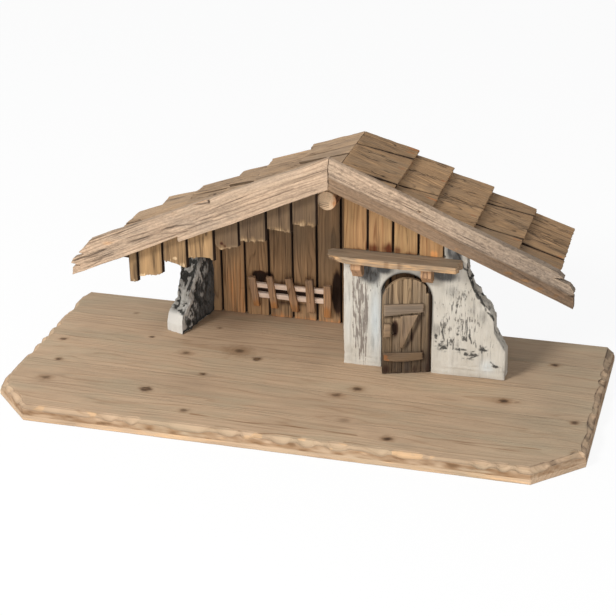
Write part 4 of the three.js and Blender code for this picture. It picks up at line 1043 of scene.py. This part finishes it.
def single_shingles(shape, parts, part, down, above, k):
    """Tilts every shingle of a course. Gives the stain in their joints, and each one's own tone and grain."""
    seed = shape.seed
    reach = shape.rest @ down
    stain, tone, grain = np.zeros(len(part)), np.zeros(len(part)), shape.local.copy()
    for j, walls in enumerate(parts):
        mine = part == j
        y = shape.rest[mine, 1]
        low, high = (wall_side(wall, down, reach[mine]) for wall in walls)
        tone[mine] = 1.44 * chance(seed + 5.3 * j)
        grain[mine] += (700 * j + 1000 * k, 9 * chance(seed + 7 * j), 22 + 9 * chance(seed + 11 * j))
        near = bump(y, low, STAIN_REACH) * (j > 0)
        far = bump(y, high, STAIN_REACH) * (j < len(parts) - 1)
        stain[mine] = np.maximum(near, far)
        tilt = (y - (low + high) / 2) / (high - low)
        slant = SHINGLE_TILT * (0.5 + 0.5 * abs(chance(seed + 17 * j)))
        sink = slant * abs(tilt - 0.5 * np.sign(chance(seed + 13 * j)))
        lengthwise = shape.local[mine, 0]
        share = (lengthwise - lengthwise.min()) / (lengthwise.max() - lengthwise.min())
        shape.points[mine] -= above * (sink * share)[:, None]
    return stain, tone, grain


def shingles(side, sign, k):
    """One course as separate wedge shingles, each split, tilted and weathered in its own way."""
    node = f"{side}_shingles_{k}"
    along = down_slope(sign)
    down, above = np.array(along), np.array(along.cross(Y)) * sign
    parts = course_parts(node, down, above)
    shape = Shape(course_solid(parts), along, Y, seed=100 + 10 * k + sign).cut(5, 1.3, 1.5, 0.5)
    part = islands(shape.bm)
    stain, tone, grain = single_shingles(shape, parts, part, down, above, k)
    if node in SHINGLE_CRACKS:
        reach = (shape.rest - (RIDGE, 0, RIDGE_TOP)) @ down
        away = from_path(np.column_stack([reach, shape.rest[:, 1]]), SHINGLE_CRACKS[node])
        crack = bump(away, 0, 1.8)
        stain = np.maximum(stain, crack)
        shape.push(-CRACK_DEPTH * crack)
    sideways = shape.normals[:, 1]
    shape.shift(Y, -np.sign(sideways) * ease(np.abs(sideways), 0.5, 0.9) * SEAM_WIDTH)
    by_part = shape.local + 310 * part[:, None]
    shape.push(0.3 * layered(by_part, (70, 2.2, 2.2), k) + 0.35 * layered(by_part, (30, 14, 14), k + 3, 2))
    torn = layered(by_part, (80, 6, 30), k + 5, 2)
    shape.push(-0.45 * (ease(torn, 0.1, 0.2) + ease(torn, 0.45, 0.55)) * (shape.normals @ above > 0.4))
    fibres = layered(by_part * (0, 1, 1), (1, 2.2, 3), k + 9, 3)
    shape.shift(along, 0.9 * shape.facing(along, 0.4, 0.8) * (fibres - 0.4))
    lengthwise = shape.local[:, 0]
    end = ease(lengthwise, lengthwise.max() - 26, lengthwise.max() - 4)
    glow = ease(layered(by_part, (24, 8, 8), 300 + k + sign), 0.3, 0.9)
    shape.mark(grain=grain, tone=tone, fresh_and_lit=glow * end * (0.4 + 0.6 * (sign > 0)),
               ink_and_shade=(0.95 if sign > 0 else 0.6) * stain,
               aged_and_shaded=0.45 * ease(layered(by_part, (50, 14, 14), 310 + k), 0, 0.8))
    shape.build(f"split_{node}", SPLIT if sign > 0 else PALE_SPLIT, "shingle", node)


def from_doorway(place):
    """How far each place lies outside the arch of the doorway, seen from the front."""
    centre, spring, radius = DOORWAY
    aside, above = np.abs(place[:, 0] - centre), place[:, 2] - spring
    return np.where(above < 0, aside, np.hypot(aside, above)) - radius


def outside_doorway(place):
    """0 in the doorway, where the leaf swings, and 1 away from it."""
    low, high = box_mm("door_leaf")
    inside = (place[:, 0] < high[0] + 3) & (place[:, 0] > low[0] - 4) & (place[:, 2] < high[2] + 5)
    return np.where(inside, 0.0, 1.0)


def front_plaster():
    """Brushed upright over a level foot, washed grey and painted in shadow under the shelf, scratched, its
    right edge broken, with painted shadow along the arch and painted shade in the doorway.
    """
    shape = Shape(remeshed(solid_copy("front_wall"), 1.15), X, Z, seed=5, wears=False).settle()
    place = shape.rest
    x, y, z = place.T
    flat = place[:, [0, 2]]
    front = shape.facing(FRONT, 0.1, 0.5)
    right_part = x > 168
    brush = layered(place, (2.6, 2.6, 26), 8)
    lumps = layered(place, (15, 15, 15), 9, 2)
    free = outside_doorway(place)
    relief = np.where(ease(z, 36, 30) > 0.5, layered(place, (34, 6, 2.4), 10), brush)
    broken = np.exp(-from_path(flat, CREST) / 5) * right_part
    shape.push(free * (0.45 * relief + 0.5 * lumps + 1.7 * broken * layered(place, (6, 6, 6), 11)))

    wobble = flat + np.stack([1.2 * noise(place, (5, 5, 9), 13), 1.6 * noise(place, (6, 6, 7), 14)], axis=1)
    widths = [0.9 + 0.6 * abs(chance(k + 0.5)) for k in range(len(SCRATCHES))]
    scratch = strokes(wobble, [(path, width, 1) for path, width in zip(SCRATCHES, widths)])
    scratch *= ease(layered(place, (3, 3, 6), 15), -0.7, 0.1)
    sparse = ease(layered(place, (1.5, 1.5, 8), 16, 2), 0.15, 0.45)
    sparse *= face_spots(place, WALL_FACE, SPARSE_STROKES, 12)
    sparse *= ease(layered(place, (12, 12, 16), 19), -0.5, 0.4)
    speckled = layered(place, (4, 4, 4), 18, 2)
    crest = bump(from_path(wobble, CREST), 0, 1.5) * ease(speckled, -0.9, -0.3) * ease(y, 47, 42)
    dots = sum(np.exp(-(np.linalg.norm(flat - dot, axis=1) / 1.5) ** 4) for dot in DOTS)
    edge_dark = shape.facing(X, 0.4, 0.8) * (z > 60) * right_part
    edge_dark = edge_dark * (0.25 * ease(z, 112, 124) + 0.6 * ease(speckled, 0.0, -0.5))
    # arch_shadow: painted shadow along the arch
    arch_shadow = bump(from_doorway(place), 0, 1.6) * ease(z + 0.7 * (x - DOORWAY[0]), 80, 110)
    block = np.clip(face_spots(place, WALL_FACE, BRUSHED, 30) * 1.6, 0, 1)
    block *= np.abs(x - BRUSHED_MIDDLE) < BRUSHED_HALF + 1.2 * layered(place, (9, 9, 9), 24)
    smears = face_spots(place, WALL_FACE, SMEARS, 12) * (0.75 + 0.8 * layered(place, (3.5, 3.5, 2.5), 20, 2))
    # jamb_shade: painted shade on the inner faces of the doorway
    jamb_shade = 0.9 * (1 - free) * ease(np.abs(shape.normals[:, 1]), 0.6, 0.3)
    # Grey wash and painted shadow under the shelf
    washed_and_shaded = np.maximum(face_spots(place, WALL_FACE, WASHED_AND_SHADED),
                        face_spots(place, WALL_FACE, WASHED_AND_SHADED_THROUGH, 30))
    shape.mark(lump=0.5 * brush + 0.4 * lumps, brush=block * front,
               hatch=face_spots(place, WALL_FACE, HATCHED, 12) * front,
               grey=(washed_and_shaded + 0.25 * sparse) * (0.3 + 0.7 * front) + 0.8 * edge_dark,
               cool=face_spots(place, WALL_FACE, COOL),
               grime_and_shade=np.maximum(0.95 * scratch, smears) * front + 0.95 * crest + edge_dark + jamb_shade,
               ink_and_shade=np.maximum(dots, 0.9 * arch_shadow) * front, lime=0.25, crest=0.0)
    shape.build("brushed_front_wall", WHITE, "plaster", "front_wall")


def left_plaster():
    """Rough, with a white foot, white knobs along its front edge and flutes at its top. Its inner face and
    its top are painted dark as shade, with a painted shadow along its foot inside.
    """
    shape = Shape(remeshed(solid_copy("left_wall"), 1.0), X, Z, seed=6, wears=False).settle()
    place = shape.rest
    z = place[:, 2]
    knobs = layered(place, (5.5, 5.5, 9), 12)
    waves = layered(place, (14, 14, 18), 17, 2)
    pits = layered(place, (2.6, 2.6, 4), 21, 2)
    low, high = box_mm("left_wall")
    heights = np.arange(low[2], high[2], 3)
    profile = [place[np.abs(z - height) < 2.5, 1].min() for height in heights]
    from_front = place[:, 1] - np.interp(z, heights, profile)
    white_foot = ease(z, 47, 40) * shape.facing(X, 0.5, 0.1)
    shape.push((1 - 0.75 * white_foot) * (1.4 * knobs + 0.8 * waves + 0.6 * pits) - 0.3)
    inner = shape.facing(X, 0.25, 0.7)
    top = ease(z, 88, 110)
    flutes = layered(place, (3.6, 3.6, 26), 22, 2)
    fluted = (1 - inner) * ease(z, 62, 74)
    shape.push(-1.0 * fluted * ease(-flutes, 0.0, 0.3))
    near_crest = ease(from_front, 44, 16)
    ridge = shape.facing(X, -0.1, 0.3) * ease(from_front, 16, 10)
    lit = 1.25 * ease(knobs + 0.5 * pits, 0.15, 0.45) * near_crest * (0.35 + 0.5 * inner)
    white = np.maximum.reduce([ridge * ease(knobs, -1.1, -0.5), lit, white_foot])
    holes = ease(-knobs - 0.5 * pits, 0.1, 0.4) * (1 - white_foot) * (0.6 + 0.4 * near_crest) * (1 - ridge)
    # foot_shadow: painted shadow along the foot of the inner face
    foot_shadow = 1.2 * inner * ease(z, 24, 19.5)
    shape.mark(lump=knobs + 0.5 * pits, lime=0.15 * (1 - inner),
               # The inner face and the top are greyed and darkened as painted shade
               grey=np.clip(0.1 + 0.8 * inner + 0.6 * top - 0.9 * white_foot, 0, 1.15),
               crest=np.clip(white * (1 - 0.85 * top), 0, 1),
               grime_and_shade=np.maximum.reduce([1.3 * fluted * ease(-flutes, 0.05, 0.3), 1.3 * holes, foot_shadow,
                                        0.75 * top * (0.4 + 0.6 * inner)]))
    shape.build("rough_left_wall", GREY, "grey_plaster", "left_wall")


def shelf():
    """A greyed board with a bright sawn front. Its left end tapers."""
    shape = worn_board("shelf", X, Y, 31, (2, 2, 1.2), groove=0.25, lump=0.4, split=0.4)
    x = shape.rest[:, 0]
    front = shape.facing(FRONT, 0.3, 0.7)
    tip = ease(x, 50, 21) * (1 + 0.5 * layered(shape.rest, (5, 5, 3), 38))
    shape.shift(Z, 5.5 * tip * shape.facing(-Z, -0.2, 0.4))
    shape.shift(Y, 5 * tip * front)
    saw_marks = (np.abs(x - 103) < 12) * ease(np.sin(x * math.tau / 2.3), 0.2, 0.8) * front
    dark_nick = spots(shape.rest, [((149, 15, 160.5), (2, 6, 1.5), 0.7)])
    shape.mark(fresh_and_lit=front * (0.62 + 0.35 * layered(shape.rest, (16, 6, 3), 32)), halo=0.35 * saw_marks,
               aged_and_shaded=0.5 * shape.facing(Z, 0.5, 0.9), ink_and_shade=0.3 * saw_marks + dark_nick)
    shape.build("worn_shelf", LEDGE, "aged_board", "shelf")


def brackets():
    for i, node in enumerate(("left_bracket", "right_bracket")):
        shape = worn_board(node, Z, X, 33 + i, (2.5, 1.6, 1.6), groove=0.2, lump=0.3)
        below_top = shape.rest[:, 2].max() - shape.rest[:, 2]
        shape.mark(fresh_and_lit=0.7 * i * ease(below_top, 5, 2), aged_and_shaded=0.3)
        shape.build(f"worn_{node}", RACK, "aged_board", node)


def ridge_log():
    """A whittled log with three saw lines in its dark front end."""
    shape = worn_board("ridge_log", Y, X, 36, (9, 0.6, 0.6), 0.7, groove=0.1, lump=0.35)
    x, _, z = shape.rest.T
    end = shape.facing(FRONT, 0.5, 0.9)
    cuts = sum(bump(z + 0.14 * (x - 24), 233.2 + 2.2 * k, 0.55) for k in range(3))
    cuts *= ease(x, 18.5, 20) * ease(x, 30.5, 29)
    window = end * ease(x, 17.5, 19) * ease(x, 30.5, 29) * np.exp(-((z - 235.4) / 3.6) ** 4)
    shape.mark(grain=shape.local + (0, 1.5, 2), tone=end * (0.8 * cuts + 0.5), fresh_and_lit=0.8 * ease(x, 31.5, 36),
               ink_and_shade=0.75 * window * (1 - np.clip(cuts * 1.4, 0, 1)), char_and_shade=0.7 * ease(x, 34, 38) * (1 - end))
    shape.build("whittled_ridge_log", LOG, "aged_board", "ridge_log")


def hay_rack():
    up = turned(Z, X, RACK_LEAN)
    for i in range(5):
        node = f"rack_slat_{i + 1}"
        shape = worn_board(node, up, X, 41 + i, (3.5, 1.2, 1.2), 0.5,
                           groove=0.2, lump=0.3, split=0.25, ragged=0.6)
        rise, side = shape.rest[:, 2], shape.local[:, 1]
        # Along each slat's right side, its shadow side, the ink is painted shade
        shape.mark(ink_and_shade=0.75 * bump(side, side.max(), 1.2), fresh_and_lit=0.9 * ease(rise, 58, 34) * (i != 3),
                   aged_and_shaded=0.25 + 0.35 * ease(rise, 60, 80),
                   char_and_shade=0.5 * ease(layered(shape.rest, 8, 45 + i), 0.6, 0.9))
        shape.build(f"split_{node}", RACK, "toasted_board", node)
    for i, node in enumerate(("rack_lower_rail", "rack_upper_rail")):
        shape = worn_board(node, X, up, 48 + i, (4, 1.2, 1.2), 0.5, groove=0.2, lump=0.3, ragged=0.5)
        shape.mark(tone=1.8)
        shape.build(f"split_{node}", PALE, "aged_board", node)


def door_leaf(wide):
    """Five planks with grooves between them, with painted shadows beside the brace, the battens and the latch
    and along the right edge, dirty along the foot.
    """
    shape = worn_board("door_leaf", Z, wide, 61, (4, 1.1, 2), 0.3, groove=0.14, lump=0.1)
    across = shape.local[:, 1] - shape.local[:, 1].min()
    width = across.max() / PLANKS
    share = across / width
    plank = np.clip(np.floor(share), 0, PLANKS - 1)
    inner = (share > 0.5) & (share < PLANKS - 0.5)
    tone = np.array([chance(2.3 * p + 5) for p in range(PLANKS)])[plank.astype(int)]
    facing = ease(np.abs(shape.normals @ shape.axes[2]), 0.5, 0.9)
    groove = bump(np.abs(share - np.round(share)) * width, 0, 0.8) * inner * facing
    shape.push(-0.5 * groove)
    place = shape.rest
    x, _, z = place.T
    lines = ease(layered(shape.local, (90, 1.5, 9), 63, 2), 0.45, 0.7) * facing
    pocket_shadows = spots(place, DOOR_POCKET_SHADOWS)
    dirt = 0.75 * ease(z, 34, 26) * ease(layered(place, (5, 5, 5), 68), -0.3, 0.5)
    mould = 0.8 * ease(z, 36, 28) * ease(layered(place, (4, 4, 4), 72, 2), 0.0, 0.5)
    shape.mark(grain=shape.local + np.stack([1000 * plank, 8 * tone, 20 + 6 * tone], axis=1),
               tone=0.9 * tone - 2.2 * ease(z, 60, 30), fresh_and_lit=0.7 * spots(place, DOOR_RED),
               # Painted shadow: the strokes beside the brace and the battens, the black line along the right
               # edge by the jamb, and the pocket shadows
               ink_and_shade=np.maximum.reduce([strokes(place[:, [0, 2]], DOOR_SHADOWS), 0.9 * groove, 0.5 * lines,
                                      0.42 * ease(z, 92, 64), 0.7 * ease(z, 72, 36),
                                      0.95 * ease(x, 139.4, 141.2), 0.8 * ease(pocket_shadows, 0.4, 0.9)]),
               # The pocket shadows are painted shadow here too. The char also darkens towards the right edge.
               # The foot stain and the dirt are the wood's own.
               char_and_shade=np.maximum.reduce([spots(place, DOOR_FOOT_STAIN), 0.5 * ease(x, 133, 142),
                                       dirt, pocket_shadows]),
               aged_and_shaded=0.5 * ease(layered(shape.local, (40, 9, 9), 62), 0, 0.7) + mould)
    shape.build("plank_leaf", PLANK, "door_wood", "door_leaf", body=DOOR)


def door():
    wide = turned(X, Z, DOOR_AJAR)
    door_leaf(wide)
    fittings = (("door_upper_batten", wide, Z, {"aged_and_shaded": 0.8}),
                ("door_lower_batten", wide, Z, {"aged_and_shaded": 0.1, "tone": -0.8}),
                ("door_brace", Z, wide, {"aged_and_shaded": 0.2}), ("door_latch", wide, Z, {"aged_and_shaded": 0.2}))
    for i, (node, along, across, marks) in enumerate(fittings):
        shape = worn_board(node, along, across, 64 + i, (3, 1.1, 1.2), 0.4,
                           groove=0.16, lump=0.12, ragged=0.3)
        back = shape.local[:, 2] * np.sign(shape.axes[2][1])
        joint = ease(back, back.max() - 2.4, back.max())
        shape.mark(ink_and_shade=np.maximum(0.85 * joint, 0.42 * ease(shape.rest[:, 2], 72, 48)),
                   fresh_and_lit=spots(shape.rest, DOOR_GLOW), **marks)
        shape.build(f"worn_{node}", FITTING, "door_wood", node, body=DOOR)


def pivot_nails():
    """The two pivot nails keep their shape and get their material alone."""
    for node in ("lower_pivot_pin", "upper_pivot_pin"):
        nodes[node].data.materials.clear()
        nodes[node].data.materials.append(IRON)


def seen_by_eye(g):
    """1 for rays from the camera and for mirrored ones, 0 for the rays that light the object."""
    paths = g.node("ShaderNodeLightPath").outputs
    mirrored = g.math("MAXIMUM", paths["Is Glossy Ray"], paths["Is Transmission Ray"])
    return g.math("MAXIMUM", paths["Is Camera Ray"], mirrored)


def pale_floor():
    """A plain pale floor that keeps the object's shadow."""
    mesh = bpy.data.meshes.new("floor")
    corners = ((-1, -1), (1, -1), (1, 1), (-1, 1))
    places = [(x * FLOOR_REACH, y * FLOOR_REACH, cad_box[0].z) for x, y in corners]
    mesh.from_pydata(places, [], [(0, 1, 2, 3)])
    floor = linked("floor", mesh)
    g = Graph(bpy.data.materials.new("pale_floor"))
    matt = g.node("ShaderNodeBsdfDiffuse", {"Color": (0.95, 0.95, 0.95, 1)}).outputs[0]
    white = g.node("ShaderNodeEmission", {"Color": (1, 1, 1, 1), "Strength": 1.0}).outputs[0]
    blend = g.node("ShaderNodeMixShader", {0: g.times(seen_by_eye(g), FLOOR_WHITE), 1: matt, 2: white})
    g.node("ShaderNodeOutputMaterial", {0: blend.outputs[0]})
    mesh.materials.append(g.holder)


def white_world():
    world = bpy.data.worlds.new("studio")
    bpy.context.scene.world = world
    g = Graph(world)
    soft, bright = (g.node("ShaderNodeBackground", {"Color": colour, "Strength": strength}).outputs[0]
                    for colour, strength in ((SKY_COLOUR, SKY_STRENGTH), ((1, 1, 1, 1), 1.0)))
    both = g.node("ShaderNodeMixShader", {0: seen_by_eye(g), 1: soft, 2: bright}).outputs[0]
    g.node("ShaderNodeOutputWorld", {0: both})


def lamp(name, place, size, power, colour):
    """A round soft lamp that looks at the middle of the stable. Place and size are in metres."""
    light = bpy.data.lights.new(name, "AREA")
    light.shape = "DISK"
    light.size = size
    light.energy = power
    light.color = colour
    holder = linked(name, light)
    holder.location = place
    aim = Vector((0, 0, 0.1)) - Vector(place)
    holder.rotation_euler = aim.to_track_quat("-Z", "Y").to_euler()


def camera():
    data = bpy.data.cameras.new("photo_view")
    data.lens = LENS
    data.sensor_width = SENSOR
    data.clip_end = 30
    holder = linked("photo_view", data)
    level = math.cos(CAMERA_PITCH)
    back = Vector((math.sin(CAMERA_YAW) * level, -math.cos(CAMERA_YAW) * level, math.sin(CAMERA_PITCH)))
    right = Z.cross(back).normalized()
    up = back.cross(right)
    c, s = math.cos(CAMERA_ROLL), math.sin(CAMERA_ROLL)
    axes = Matrix((c * right + s * up, c * up - s * right, back)).transposed()
    holder.matrix_world = Matrix.Translation(CAMERA_PLACE) @ axes.to_4x4()
    bpy.context.scene.camera = holder


base_board()
upright_boards("back_board", 11, WALL_BOARD, "weathered_board", back_marks, seed=11, split=0.2)
upright_boards("gable_board", 4, TOASTED, "toasted_board", gable_marks, seed=25, step=5)
upright_boards("apron_board", 8, APRON, "weathered_board", apron_marks, seed=51, step=3, across=0.9,
               ragged=3, lump=0.3, split=0.3)
front_plaster()
left_plaster()
shelf()
brackets()
ridge_log()
roof()
hay_rack()
door()
pivot_nails()
pale_floor()
white_world()
lamp("key", (-1.5, -2.3, 2.1), 1.0, 88, (1.0, 0.98, 0.95))
lamp("fill", (0.8, -2.9, 0.8), 1.6, 26, (0.97, 0.98, 1.0))
camera()

bpy.context.scene.view_settings.view_transform = "Standard"
